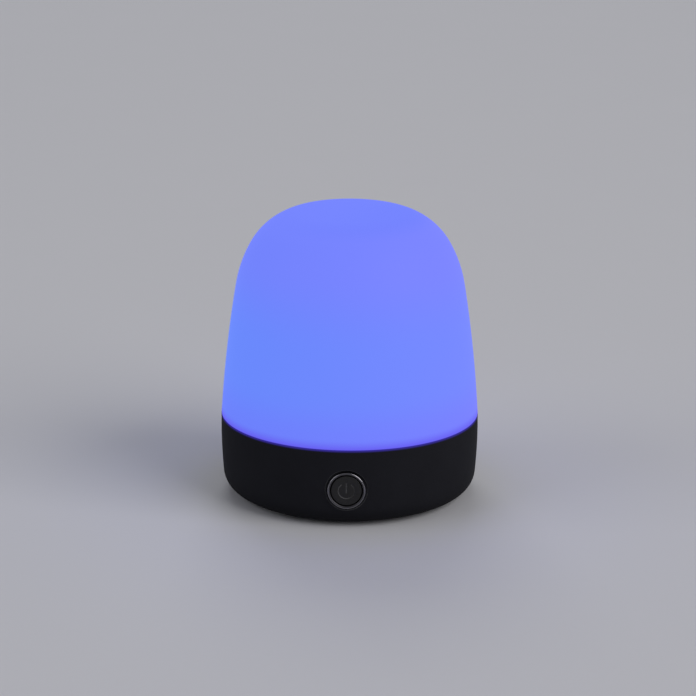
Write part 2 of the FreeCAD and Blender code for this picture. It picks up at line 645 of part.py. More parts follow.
def cradle(body):
    """Two saddles under the cell and a stop past each end of it."""
    saddles = new_sketch(body, "cradle_saddles", "YZ_Plane", "0 - cradle_x - cradle_thickness / 2")
    left, right = "cell_y - cradle_half_width", "cell_y + cradle_half_width"
    polygon(saddles, [(left, "cover_top"), (right, "cover_top"), (right, "cell_z"), (left, "cell_z")])
    extrude(body, "Pad", saddles, "cradle_thickness")
    others = new_sketch(body, "cradle_saddles_right", "YZ_Plane", "cradle_x - cradle_thickness / 2")
    polygon(others, [(left, "cover_top"), (right, "cover_top"), (right, "cell_z"), (left, "cell_z")])
    extrude(body, "Pad", others, "cradle_thickness")
    stops = new_sketch(body, "cell_stops", offset="cover_top")
    low, high = "cell_y - stop_half_width", "cell_y + stop_half_width"
    for near, far in (("stop_x", "stop_x + stop_thickness"), ("0 - stop_x - stop_thickness", "0 - stop_x")):
        polygon(stops, [(near, low), (far, low), (far, high), (near, high)])
    extrude(body, "Pad", stops, "stop_height - cover_top")
    trough = new_sketch(body, "cell_trough", "YZ_Plane", "0 - cradle_x - cradle_thickness")
    circle(trough, "cell_radius + cradle_clearance", "cell_y", "cell_z")
    extrude(body, "Pocket", trough, "2 * cradle_x + 2 * cradle_thickness", reverse=True)


def board_screw_places():
    return [
        ("front_standoff_x", "front_standoff_y"), ("0 - front_standoff_x", "front_standoff_y"),
        ("rear_standoff_x", "rear_standoff_y"), ("0 - rear_standoff_x", "rear_standoff_y"),
    ]


def strap_screw_places():
    return ["cell_y - strap_boss_offset", "cell_y + strap_boss_offset"]


def foot_pads():
    """Four rubber discs that stand on the table."""
    pads = []
    for angle in (0, 90, 180, 270):
        x, y = on_ring("foot_ring_radius", angle)
        disc = rod(f"foot_{angle}", "foot_radius", "foot_gap + foot_recess")
        pad = bevelled(f"foot_{angle}_bevelled", disc, "foot_bevel", round_edges(0))
        pads.append(place(pad, x, y))
    return group("foot_pads", pads)


def cover_screws():
    """Four screws that go up through the cover into the tray's long posts."""
    made = []
    for angle in QUARTERS:
        x, y = on_ring("post_ring_radius", angle)
        made.append(screw(
            f"cover_screw_{angle}", "cover_head_radius", "cover_head_height", "cover_screw_radius",
            "cover_screw_length", x, y, "foot_gap + counterbore_depth", FLIPPED,
        ))
    return group("cover_screws", made)


# ---- light tray and LED board ---------------------------------------------------------------


def light_tray():
    """The white tray under the dome: reflector skirt above, four long screw posts below."""
    top = "ledge_height + tray_thickness"
    body = turned_body("light_tray", [
        ("0", "ledge_height"), ("tray_radius", "ledge_height"), ("tray_radius", top),
        ("skirt_foot_radius + skirt_run", top), ("skirt_radius", "skirt_top - skirt_wall"),
        ("skirt_radius", "skirt_top"), ("skirt_radius - skirt_wall", "skirt_top"),
        ("skirt_foot_radius", top), ("0", top),
    ])
    posts = new_sketch(body, "cover_posts", offset="ledge_height")
    bores = new_sketch(body, "cover_post_bores", offset="cover_top + post_gap")
    for angle in QUARTERS:
        x, y = on_ring("post_ring_radius", angle)
        circle(posts, "post_radius", x, y)
        circle(bores, "cover_screw_radius + screw_clearance", x, y)
    extrude(body, "Pad", posts, "ledge_height - cover_top - post_gap", reverse=True)
    extrude(body, "Pocket", bores, "post_bore_depth", reverse=True)
    short = new_sketch(body, "led_posts", offset="ledge_height")
    holes = new_sketch(body, "led_post_bores", offset=top)
    for angle in THIRDS:
        x, y = on_ring("led_screw_ring_radius", angle)
        circle(short, "led_post_radius", x, y)
        circle(holes, "small_screw_radius + screw_clearance", x, y)
    extrude(body, "Pad", short, "led_post_depth", reverse=True)
    extrude(body, "Pocket", holes, "tray_thickness + led_post_depth - 0.8")
    cable = new_sketch(body, "tray_cable_hole", offset=top)
    circle(cable, "cable_hole_radius", y="cable_hole_offset")
    extrude(body, "Pocket", cable, "tray_thickness + 1")
    return body


def drilled_disc(label, radius, thickness, height):
    """A round plate with the three screw holes and the cable hole."""
    body = new_body(label)
    face = new_sketch(body, f"{label}_face", offset=height)
    circle(face, radius)
    for angle in THIRDS:
        circle(face, "small_screw_radius + screw_clearance", *on_ring("led_screw_ring_radius", angle))
    circle(face, "cable_hole_radius", y="cable_hole_offset")
    extrude(body, "Pad", face, thickness)
    return body


SPREADER_BASE = "ledge_height + tray_thickness"
LED_BOARD_BASE = f"{SPREADER_BASE} + spreader_thickness"
LED_BASE = f"{LED_BOARD_BASE} + led_board_thickness"


def led_places():
    """Twelve LEDs on the outer ring and six on the inner one, at even angles."""
    outer = [on_ring("led_outer_ring_radius", 15 + 30 * i) for i in range(12)]
    inner = [on_ring("led_inner_ring_radius", 60 * i) for i in range(6)]
    return outer + inner


def leds():
    """Square LED packages, each with a round window sunk in its top."""
    made = []
    for i, (x, y) in enumerate(led_places()):
        case = block(f"led_case_{i}", "led_size", "led_size", "led_height", x, y, LED_BASE)
        well = rod(
            f"led_well_{i}", "led_window_radius", "led_window_depth", x, y,
            f"{LED_BASE} + led_height - led_window_depth",
        )
        made.append(cut(f"led_{i}", case, well))
    return group("leds", made)


def led_windows():
    """The clear filling of each LED package's window."""
    floor = f"{LED_BASE} + led_height - led_window_depth"
    return group("led_windows", [
        rod(f"led_window_{i}", "led_window_radius", "led_window_depth", x, y, floor)
        for i, (x, y) in enumerate(led_places())
    ])


def small_screw(name, x, y, z, rotation=Rotation(), length="small_screw_length"):
    return screw(
        name, "small_head_radius", "small_head_height", "small_screw_radius", length, x, y, z, rotation
    )


def led_board_screws():
    return group("led_board_screws", [
        small_screw(f"led_screw_{angle}", *on_ring("led_screw_ring_radius", angle), LED_BASE)
        for angle in THIRDS
    ])


# ---- power button ---------------------------------------------------------------------------


def bezel_ring():
    """The bright ring round the button: a rounded crest, with a sleeve through the base's wall."""
    body = new_body("bezel_ring")
    sketch = new_sketch(body, "bezel_section", "XZ_Plane")
    inner, outer, shoulder = number("bezel_bore_radius"), number("bezel_radius"), number("bezel_shoulder")
    half = (outer - inner) / 2
    ring = Part.Circle(Vector(inner + half, shoulder, 0), Vector(0, 0, 1), half)
    crest = sketch.addGeometry(Part.ArcOfCircle(ring, 0, math.pi), False)
    rest = [
        ("bezel_bore_radius", "bezel_sleeve_end"), ("bezel_sleeve_radius", "bezel_sleeve_end"),
        ("bezel_sleeve_radius", "button_recess_floor"), ("bezel_radius", "button_recess_floor"),
        ("bezel_radius", "bezel_shoulder"),
    ]
    points = [sketch.getPoint(crest, 2)]
    points += [Vector(number(x), number(y), 0) for x, y in rest]
    lines = [add_line(sketch, a, b) for a, b in zip(points, points[1:])]
    sketch.addConstraint(Sketcher.Constraint("Coincident", lines[0], 1, crest, 2))
    for a, b in zip(lines, lines[1:]):
        sketch.addConstraint(Sketcher.Constraint("Coincident", a, 2, b, 1))
    sketch.addConstraint(Sketcher.Constraint("Coincident", lines[-1], 2, crest, 1))
    for line, (x, y) in zip(lines, rest):
        pin(sketch, line, 2, x, y)
    pin(sketch, crest, 2, "bezel_bore_radius", "bezel_shoulder")
    pin(sketch, crest, GEOMETRY_CENTRE, y="bezel_shoulder")
    revolve(body, sketch)
    return place_on_axis(body, "button_height", SPIN_FRONT)


def bezel_retainer():
    """The push-on ring behind the wall that holds the bezel's sleeve."""
    back = "button_flat - retainer_thickness"
    bore = "bezel_sleeve_radius + retainer_clearance"
    body = turned_body("bezel_retainer", [
        (bore, back), ("retainer_radius", back), ("retainer_radius", "button_flat"),
        (bore, "button_flat"),
    ])
    return place_on_axis(body, "button_height", SPIN_FRONT)


def power_button():
    """The pressed cap: a round face with the power symbol sunk in it, a flange and a hollow back."""
    flange_back = "cap_flange_front - cap_flange_thickness"
    body = turned_body("power_button", [
        ("0", "stem_end"), ("stem_radius", "stem_end"), ("stem_radius", "cap_face - cap_skin"),
        ("cap_cavity_radius", "cap_face - cap_skin"), ("cap_cavity_radius", flange_back),
        ("cap_flange_radius", flange_back), ("cap_flange_radius", "cap_flange_front"),
        ("cap_radius", "cap_flange_front"), ("cap_radius", "cap_face - cap_bevel"),
        ("cap_radius - cap_bevel", "cap_face"), ("0", "cap_face"),
    ])
    symbol = new_sketch(body, "power_symbol", offset="cap_face")
    power_arc(symbol)
    bar = "symbol_width / 2"
    polygon(symbol, [
        (f"0 - {bar}", "symbol_bar_bottom"), (bar, "symbol_bar_bottom"),
        (bar, "symbol_bar_top"), (f"0 - {bar}", "symbol_bar_top"),
    ])
    extrude(body, "Pocket", symbol, "symbol_depth")
    return place_on_axis(body, "button_height", SPIN_FRONT)


def power_arc(sketch):
    """The open ring of the power symbol, closed at each end by a short straight edge."""
    mean, half = number("symbol_radius"), number("symbol_width") / 2
    gap = math.radians(number("symbol_gap"))
    start, end = math.pi / 2 + gap, math.pi * 2.5 - gap
    centre, up = Vector(0, 0, 0), Vector(0, 0, 1)
    outer = sketch.addGeometry(Part.ArcOfCircle(Part.Circle(centre, up, mean + half), start, end), False)
    inner = sketch.addGeometry(Part.ArcOfCircle(Part.Circle(centre, up, mean - half), start, end), False)
    ends = [add_line(sketch, sketch.getPoint(outer, p), sketch.getPoint(inner, p)) for p in (1, 2)]
    for line, point in zip(ends, (1, 2)):
        sketch.addConstraint(Sketcher.Constraint("Coincident", line, 1, outer, point))
        sketch.addConstraint(Sketcher.Constraint("Coincident", line, 2, inner, point))
    for arc, text in ((outer, "symbol_radius + symbol_width / 2"), (inner, "symbol_radius - symbol_width / 2")):
        sketch.addConstraint(Sketcher.Constraint("Coincident", arc, GEOMETRY_CENTRE, *ORIGIN))
        limit(sketch, "Radius", (arc,), text)
    reach = "( symbol_radius + symbol_width / 2 ) * sin( symbol_gap * 1deg )"
    inner_reach = "( symbol_radius - symbol_width / 2 ) * sin( symbol_gap * 1deg )"
    for point, sign in ((1, "0 - "), (2, "0 + ")):
        pin(sketch, outer, point, x=f"{sign}{reach}")
        pin(sketch, inner, point, x=f"{sign}{inner_reach}")


def front_piece(made):
    """Point a piece that is drawn along its own Z out of the front, at the button's height."""
    return place_on_axis(made, "button_height", SPIN_FRONT)


def button_board():
    """The small upright board behind the button."""
    plate = block(
        "button_board_plate", "button_board_width", "button_board_height", "board_thickness",
        z="button_board_face - board_thickness",
    )
    holes = [
        rod(f"button_board_hole_{i}", "small_screw_radius + screw_clearance", "board_thickness + 2",
            x, z="button_board_face - board_thickness - 1")
        for i, x in enumerate(("button_post_offset", "0 - button_post_offset"))
    ]
    made = cut("button_board", plate, *holes)
    made.Label = "button_board"
    return front_piece(made)


def switch_housing():
    """The soft-feel switch's case, bored for its plunger."""
    case = block("switch_case", "switch_size", "switch_size", "switch_depth", z="button_board_face")
    bore = rod(
        "switch_bore", "plunger_radius + plunger_clearance", "switch_bore_depth + 1",
        z="button_board_face + switch_depth - switch_bore_depth",
    )
    made = cut("switch_housing", case, bore)
    return front_piece(made)


def switch_plunger():
    """The switch's own plunger, which the button's stem pushes."""
    pin_shape = rod("plunger_rod", "plunger_radius", "plunger_length")
    made = bevelled("switch_plunger", pin_shape, "plunger_clearance * 2", round_edges(number("plunger_length")))
    doc.recompute()
    turned = SPIN_FRONT.multVec(Vector(0, 0, number("plunger_end - plunger_length")))
    made.Placement = Placement(Vector(0, turned.y, number("button_height")), SPIN_FRONT)
    return made


def button_board_screws():
    face = number("button_board_face - board_thickness")
    made = []
    for side in ("button_post_offset", "0 - button_post_offset"):
        name = f"button_screw_{'right' if side[0] != '0' else 'left'}"
        one = small_screw(name, side, "0", "0", SPIN_BACK)
        shank = number("small_screw_length")
        one.Placement = Placement(Vector(number(side), -face - shank, number("button_height")), SPIN_BACK)
        made.append(one)
    return group("button_board_screws", made)


# ---- main board and its parts -----------------------------------------------------------------


def main_board():
    """The main board, with a tongue that carries the socket out to the back wall."""
    under = "board_top - board_thickness"
    middle = "( board_front + board_back ) / 2"
    sheet_part = block(
        "board_sheet", "2 * board_half_width", "board_back - board_front", "board_thickness",
        y=middle, z=under,
    )
    tongue = block(
        "board_tongue", "2 * tongue_half_width", "tongue_back - board_back + 2", "board_thickness",
        y="( board_back - 2 + tongue_back ) / 2", z=under,
    )
    holes = [
        rod(f"board_hole_{i}", "small_screw_radius + screw_clearance", "board_thickness + 2",
            x, y, f"{under} - 1")
        for i, (x, y) in enumerate(board_screw_places())
    ]
    made = cut("main_board", join("board_blank", sheet_part, tongue), *holes)
    return made


def main_board_screws():
    return group("main_board_screws", [
        small_screw(f"board_screw_{i}", x, y, "board_top")
        for i, (x, y) in enumerate(board_screw_places())
    ])


def connector_places():
    """Name, width and place across of each lead's connector on the main board."""
    return (
        ("led", "led_connector_width", "0"),
        ("battery", "small_connector_width", "small_connector_x"),
        ("button", "small_connector_width", "0 - small_connector_x"),
    )


def board_connectors():
    """Three open-topped headers along the board's front edge."""
    made = []
    for name, width, x in connector_places():
        outer = block(f"{name}_header_case", width, "connector_depth", "connector_height",
                      x, "connector_y", "board_top")
        inner = block(
            f"{name}_header_well", f"{width} - 2 * connector_wall",
            "connector_depth - 2 * connector_wall", "connector_height",
            x, "connector_y", "board_top + connector_wall",
        )
        made.append(cut(f"{name}_header", outer, inner))
    return group("board_connectors", made)


def lead_plugs():
    """The plug of each lead, seated in its header."""
    rise = "connector_height + plug_rise - connector_wall"
    return group("lead_plugs", [
        block(f"{name}_plug", f"{width} - 2 * connector_wall - 2 * plug_gap",
              "connector_depth - 2 * connector_wall - 2 * plug_gap", rise,
              x, "connector_y", "board_top + connector_wall")
        for name, width, x in connector_places()
    ])


def wireless_module():
    """The radio module's own small board."""
    return block(
        "wireless_module", "module_width", "module_length", "module_thickness",
        "module_left + module_width / 2", "module_front + module_length / 2", "board_top",
    )


def module_shield():
    """The metal can over the radio chip, open below."""
    floor = "board_top + module_thickness"
    wide = "module_width - 2 * shield_inset"
    x = "module_left + module_width / 2"
    y = "module_front + shield_inset + shield_length / 2"
    can = block("shield_can", wide, "shield_length", "shield_height", x, y, floor)
    room = block("shield_room", f"{wide} - 0.4", "shield_length - 0.4", "shield_height - 0.2", x, y, floor)
    return cut("module_shield", can, room)


def power_parts():
    """The coil and the two round capacitors of the charging and LED supply."""
    coil = block("coil_block", "6", "6", "3", "10", "27", "board_top")
    cans = [rod(f"capacitor_{i}", "3.15", "6", "0", y, "board_top") for i, y in enumerate(("22", "30"))]
    return group("power_parts", [coil, *cans])


def board_chips():
    """The charger, driver and indicator chips."""
    return group("board_chips", [
        block("charger_chip", "4", "4", "1", "12", "20", "board_top"),
        block("driver_chip", "5", "4", "1.5", "0", "38", "board_top"),
        block("indicator_chip", "2", "1.2", "0.9", "pipe_x", "pipe_back - 1.4", "board_top"),
    ])


# ---- charging socket ------------------------------------------------------------------------


def rounded_bar(body, name, width, height, base, length, kind="Pad", reverse=False):
    """A Pad or Pocket of a slot-shaped section, from one distance along the body's own Z."""
    sketch = new_sketch(body, name, offset=base)
    slot(sketch, width, height)
    return extrude(body, kind, sketch, length, reverse)


def usb_socket():
    """The socket's metal shell: a slot-shaped tube with a closed back."""
    body = new_body("usb_socket")
    rounded_bar(body, "socket_outside", "socket_width", "socket_height",
                "socket_mouth - socket_length", "socket_length")
    rounded_bar(
        body, "socket_inside", "socket_width - 2 * socket_wall", "socket_height - 2 * socket_wall",
        "socket_mouth", "socket_length - socket_back_wall", "Pocket",
    )
    return place_on_axis(body, "board_top + socket_height / 2", SPIN_BACK)


def usb_tongue():
    """The contact tongue that stands in the middle of the socket."""
    base = "socket_mouth - socket_length + socket_back_wall"
    made = block(
        "usb_tongue_blade", "tongue_width", "tongue_thickness",
        "socket_length - socket_back_wall - tongue_recess", z=base,
    )
    made = bevelled("usb_tongue", made, "tongue_thickness / 3", front_edges)
    made.Placement = Placement(Vector(0, 0, number("board_top + socket_height / 2")), SPIN_BACK)
    return made


def front_edges(shape):
    """The two long edges at a blade's far end."""
    top = shape.BoundBox.ZMax
    return [
        i for i, edge in enumerate(shape.Edges, start=1)
        if abs(edge.CenterOfMass.z - top) < 1e-6 and edge.BoundBox.XLength > 1
    ]


def charge_light_pipe():
    """The clear rod that carries the charging light out beside the port."""
    body = turned_body("charge_light_pipe", [
        ("0", "pipe_back"), ("pipe_radius", "pipe_back"), ("pipe_radius", "pipe_collar_front - 1"),
        ("pipe_collar_radius", "pipe_collar_front - 1"), ("pipe_collar_radius", "pipe_collar_front"),
        ("pipe_radius", "pipe_collar_front"), ("pipe_radius", "pipe_front"), ("0", "pipe_front"),
    ])
    return place(body, x="pipe_x", z="board_top + socket_height / 2", rotation=SPIN_BACK)


# ---- battery --------------------------------------------------------------------------------

ALONG_X = Rotation(Vector(0, 1, 0), 90)


def battery_cell():
    """A round lithium cell lying across the base, with its raised end contact."""
    half = "cell_length / 2"
    body = turned_body("battery_cell", [
        ("0", f"0 - {half}"), ("cell_radius - cell_bevel", f"0 - {half}"),
        ("cell_radius", f"cell_bevel - {half}"), ("cell_radius", f"{half} - cell_bevel"),
        ("cell_radius - cell_bevel", half), ("nub_radius", half), ("nub_radius", f"{half} + nub_length"),
        ("0", f"{half} + nub_length"),
    ])
    return place(body, y="cell_y", z="cell_z", rotation=ALONG_X)


def battery_tabs():
    """A nickel strip welded on each end of the cell."""
    right = block("tab_right", "tab_thickness", "tab_width", "tab_height",
                  "cell_length / 2 + nub_length + tab_thickness / 2", "cell_y", "cell_z - tab_height / 2")
    left = block("tab_left", "tab_thickness", "tab_width", "tab_height",
                 "0 - cell_length / 2 - tab_thickness / 2", "cell_y", "cell_z - tab_height / 2")
    return group("battery_tabs", [right, left])


def battery_strap():
    """The bridge over the cell, with a screwed foot each side."""
    inner = "cell_radius + cradle_clearance"
    outer = f"{inner} + strap_wall"
    width = "2 * strap_half_width"
    hoop = rod("strap_hoop", outer, width, "0 - strap_half_width", "cell_y", "cell_z", ALONG_X)
    legs = block("strap_legs", width, f"2 * ( {outer} )", "cell_z - strap_foot", y="cell_y", z="strap_foot")
    feet = block("strap_feet", width, f"2 * ( {outer} ) + 2 * strap_foot_reach", "strap_foot_thickness",
                 y="cell_y", z="strap_foot")
    room = rod("strap_room", inner, f"{width} + 2", "0 - strap_half_width - 1", "cell_y", "cell_z", ALONG_X)
    under = block("strap_under", f"{width} + 2", f"2 * ( {inner} )", "cell_z", y="cell_y")
    floor = block("strap_floor", f"{width} + 2", f"4 * ( {outer} )", "strap_foot", y="cell_y")
    holes = [
        rod(f"strap_hole_{i}", "small_screw_radius + screw_clearance", "6", "0", y, "strap_foot - 1")
        for i, y in enumerate(strap_screw_places())
    ]
    return cut("battery_strap", join("strap_blank", hoop, legs, feet), room, under, floor, *holes)


def strap_screws():
    return group("strap_screws", [
        small_screw(f"strap_screw_{i}", "0", y, "strap_foot + strap_foot_thickness",
                    length="strap_bore_depth + strap_foot_thickness")
        for i, y in enumerate(strap_screw_places())
    ])


# ---- leads ----------------------------------------------------------------------------------

ARC_SHARE = 0.45


def corner_arc(before, at, after):
    """Two tangent points and a mid point of the largest arc that a corner's two runs allow."""
    back, ahead = before - at, after - at
    turn = math.pi - back.getAngle(ahead)
    setback = ARC_SHARE * min(back.Length, ahead.Length)
    radius = setback / math.tan(turn / 2)
    back.normalize()
    ahead.normalize()
    bisector = back + ahead
    bisector.normalize()
    middle = at + bisector * (radius / math.cos(turn / 2) - radius)
    return at + back * setback, middle, at + ahead * setback


def lead(route):
    """One insulated wire: straight runs joined by tangent arcs, swept by a circle."""
    points = [Vector(*p) for p in route]
    edges = []
    radii = []
    last = points[0]
    for before, at, after in zip(points, points[1:], points[2:]):
        first, middle, second = corner_arc(before, at, after)
        edges.append(Part.LineSegment(last, first).toShape())
        edges.append(Part.Arc(first, middle, second).toShape())
        radii.append(edges[-1].Curve.Radius)
        last = second
    edges.append(Part.LineSegment(last, points[-1]).toShape())
    print(f"lead: tightest bend {min(radii):.2f} mm, length {sum(e.Length for e in edges):.1f} mm")
    spine = Part.Wire(edges)
    section = Part.Wire(Part.Circle(points[0], points[1] - points[0], number("lead_radius")).toShape())
    return spine.makePipeShell([section], True, True)


def lead_set(label, routes):
    """A named set of wires, each its own solid."""
    feature = doc.addObject("Part::Feature", label)
    feature.Shape = Part.makeCompound([lead(route) for route in routes])
    feature.Placement = Placement()
    return feature


def plug_top():
    return number("board_top + connector_height + plug_rise")


def led_leads():
    """Four wires up from the middle plug through the cable hole, and over on to the LED board."""
    top, y = plug_top(), number("connector_y")
    surface = number(LED_BASE) + number("lead_radius")
    hole, pitch = number("cable_hole_offset"), number("lead_pitch")
    routes = []
    for i in range(4):
        x = (i - 1.5) * pitch
        routes.append([
            (x, y, top), (x, y, top + 2.8), (x, hole + 0.4, top + 6.2), (x, hole + 0.4, surface + 2.2),
            (x, hole + 5, surface + 2), (x, hole + 9, surface), (x, hole + 13, surface),
        ])
    return lead_set("led_leads", routes)


def battery_leads():
    """Two wires from the cell's end strips, up beside it, to the right-hand plug."""
    top, y, x = plug_top(), number("connector_y"), number("small_connector_x")
    strip = number("cell_length / 2 + nub_length + tab_thickness") + number("lead_radius")
    middle, height, half = number("cell_y"), number("cell_z"), number("lead_pitch") / 2
    near = [
        (strip, middle, height + 2), (strip + 0.1, middle + 6.5, height + 6.8),
        (strip - 5, middle + 11.5, height + 9), (x + 9, middle + 13, height + 10),
        (x + half, y - 5, top + 4), (x + half, y, top + 4.2), (x + half, y, top),
    ]
    other = number("cell_length / 2 + tab_thickness") + number("lead_radius")
    far = [
        (-other, middle, height + 2), (-other - 0.2, middle + 7.6, height + 6.8),
        (-other + 5, middle + 11.5, height + 8.4), (-other + 14, middle + 12.8, height + 7.4),
        (-other + 25, middle + 13, height + 7.2), (x - 10, middle + 14, height + 8.2),
        (x - half, y - 4.5, top + 3.9), (x - half, y, top + 4.2), (x - half, y, top),
    ]
    return lead_set("battery_leads", [near, far])


def button_leads():
    """Two wires from the back of the button board, over the cell, to the left-hand plug."""
    top, y, x = plug_top(), number("connector_y"), -number("small_connector_x")
    face = -number("button_board_face - board_thickness")
    level = number("button_height") + 4.5
    over = number("cell_z + cell_radius") + 1.15
    routes = []
    for side in (-0.5, 0.5):
        shift = side * number("lead_pitch")
        routes.append([
            (x + 3 + shift, face, level), (x + 3 + shift, face + 5, level),
            (x + 1.5 + shift, face + 12, over - 0.4), (x - 1 + shift, face + 22, over),
            (x - 1.5 + shift, face + 34, over), (x + shift, y - 5.5, top + 4),
            (x + shift, y, top + 4.2), (x + shift, y, top),
        ])
    return lead_set("button_leads", routes)


# ---- build and write ------------------------------------------------------------------------


def build():
    """Make every sub-part and return them in order."""
    parts = [
        diffuser_dome(), dome_gasket(), base_shell(), bottom_cover(), foot_pads(), cover_screws(),
        light_tray(),
        drilled_disc("heat_spreader", "spreader_radius", "spreader_thickness", SPREADER_BASE),
        drilled_disc("led_board", "led_board_radius", "led_board_thickness", LED_BOARD_BASE),
        leds(), led_windows(), led_board_screws(), bezel_ring(), bezel_retainer(), power_button(),
        button_board(), switch_housing(), switch_plunger(), button_board_screws(), main_board(),
        main_board_screws(), board_connectors(), lead_plugs(), wireless_module(), module_shield(),
        power_parts(), board_chips(), usb_socket(), usb_tongue(), charge_light_pipe(),
        battery_cell(), battery_tabs(), battery_strap(), strap_screws(),
    ]
    doc.recompute()
    return parts + [led_leads(), battery_leads(), button_leads()]


def check(parts):
    """Stop on any failed object, and on any sub-part whose shape is empty, open or invalid."""
    bad = [f"{x.Name} {x.State}" for x in doc.Objects if {"Invalid", "Error"} & set(x.State)]
    if bad:
        raise RuntimeError(f"failed objects: {bad}")
    for part in parts:
        shape = part.Shape
        if shape.isNull() or not shape.isValid() or not shape.Solids:
            raise RuntimeError(f"{part.Label} has no valid solid")
        if any(solid.Volume <= 0 for solid in shape.Solids):
            raise RuntimeError(f"{part.Label} has an inside-out solid")


def write(parts):
    os.makedirs("parts", exist_ok=True)
    for part in parts:
        part.Shape.exportStep(f"parts/{part.Label}.step")
        box = part.Shape.BoundBox
        print(
            f"{part.Label:20s} {len(part.Shape.Solids):2d} solids {part.Shape.Volume:10.1f} mm3",
            f"z {box.ZMin:6.2f} to {box.ZMax:6.2f}",
        )


fill_sheet()
sub_parts = build()
check(sub_parts)
write(sub_parts)
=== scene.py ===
"""A cordless mood lamp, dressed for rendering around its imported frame.

Metres throughout, +Z up, with the origin at the centre of the lamp's footprint.  The power button
faces -Y and the charging port faces +Y.  Each class builds and dresses one sub-assembly.
"""

import sys
import logging
import math
from dataclasses import dataclass, field
from enum import Enum
from typing import Any, Mapping, Sequence

import bmesh
import bpy
from mathutils import Matrix, Vector


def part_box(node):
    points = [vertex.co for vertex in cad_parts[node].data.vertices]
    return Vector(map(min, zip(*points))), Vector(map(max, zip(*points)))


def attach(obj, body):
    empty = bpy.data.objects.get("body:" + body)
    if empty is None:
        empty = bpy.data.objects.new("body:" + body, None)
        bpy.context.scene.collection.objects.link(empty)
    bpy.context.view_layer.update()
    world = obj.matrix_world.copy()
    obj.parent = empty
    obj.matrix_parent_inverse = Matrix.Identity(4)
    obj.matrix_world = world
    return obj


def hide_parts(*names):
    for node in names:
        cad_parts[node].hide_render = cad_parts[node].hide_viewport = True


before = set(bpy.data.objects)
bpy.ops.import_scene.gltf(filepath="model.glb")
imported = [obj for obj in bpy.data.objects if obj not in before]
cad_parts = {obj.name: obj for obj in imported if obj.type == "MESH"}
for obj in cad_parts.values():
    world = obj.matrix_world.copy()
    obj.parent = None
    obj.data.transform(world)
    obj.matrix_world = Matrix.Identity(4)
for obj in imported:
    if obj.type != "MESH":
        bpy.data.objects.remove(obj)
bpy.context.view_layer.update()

LOG = logging.getLogger("mood_lamp")
MM = 0.001
FULL_TURN = 2 * math.pi
WELD = 2e-6

Point = tuple[float, float]
Colour = tuple[float, float, float]


class Body(Enum):
    """The rigid bodies that pieces ride on."""

    LAMP = "lamp_body"
    BUTTON = "button"


class Facing(Enum):
    """Which way a piece that is drawn about its own Z axis looks once it is in the lamp."""

    UP = Matrix.Identity(3)
    FRONT = Matrix.Rotation(math.pi / 2, 3, "X")


def srgb(red: int, green: int, blue: int) -> Colour:
    """Turn a display colour into the linear one that shaders use.

    Args:
        red: Red from 0 to 255.
        green: Green from 0 to 255.
        blue: Blue from 0 to 255.

    Returns:
        The three linear values, from 0 to 1.
    """
    shares = [value / 255 for value in (red, green, blue)]
    linear = [s / 12.92 if s <= 0.04045 else ((s + 0.055) / 1.055) ** 2.4 for s in shares]
    return linear[0], linear[1], linear[2]


# ---- node trees -------------------------------------------------------------------------------


class Wire:
    """A socket's value that does arithmetic: each operator adds one Math node."""

    def __init__(self, bench: "Bench", socket: bpy.types.NodeSocket) -> None:
        """Keep the bench that the value belongs to, and the socket that gives it."""
        self.bench = bench
        self.socket = socket

    def apply(self, operation: str, *others: Any) -> "Wire":
        """Add one Math node with this value as its first input.

        Args:
            operation: The Math node's operation.
            *others: The node's other inputs, as values or wires.

        Returns:
            The node's result.
        """
        return self.bench.value("ShaderNodeMath", {"operation": operation},
                                dict(enumerate((self, *others))))

    def reflected(self, operation: str, first: Any) -> "Wire":
        """The same, with this value as the second input."""
        return self.bench.value("ShaderNodeMath", {"operation": operation}, {0: first, 1: self})

    def __add__(self, other: Any) -> "Wire":
        """This plus other."""
        return self.apply("ADD", other)

    def __radd__(self, other: Any) -> "Wire":
        """Other plus this."""
        return self.reflected("ADD", other)

    def __sub__(self, other: Any) -> "Wire":
        """This less other."""
        return self.apply("SUBTRACT", other)

    def __rsub__(self, other: Any) -> "Wire":
        """Other less this."""
        return self.reflected("SUBTRACT", other)

    def __mul__(self, other: Any) -> "Wire":
        """This times other."""
        return self.apply("MULTIPLY", other)

    def __rmul__(self, other: Any) -> "Wire":
        """Other times this."""
        return self.reflected("MULTIPLY", other)

    def __truediv__(self, other: Any) -> "Wire":
        """This over other."""
        return self.apply("DIVIDE", other)

    def __mod__(self, other: Any) -> "Wire":
        """What is left of this after whole lots of other."""
        return self.apply("FLOORED_MODULO", other)

    def __gt__(self, other: Any) -> "Wire":
        """One where this is greater than other, and zero elsewhere."""
        return self.apply("GREATER_THAN", other)

    def __lt__(self, other: Any) -> "Wire":
        """One where this is less than other, and zero elsewhere."""
        return self.apply("LESS_THAN", other)

    def ramp(self, low: float, high: float, smooth: bool = True) -> "Wire":
        """Rise from zero to one as this goes from low to high.

        Args:
            low: The value that gives zero.
            high: The value that gives one.
            smooth: Whether the rise eases in and out.

        Returns:
            The risen value.
        """
        kind = "SMOOTHSTEP" if smooth else "LINEAR"
        inputs = {"Value": self, "From Min": low, "From Max": high}
        return self.bench.value("ShaderNodeMapRange", {"interpolation_type": kind}, inputs)


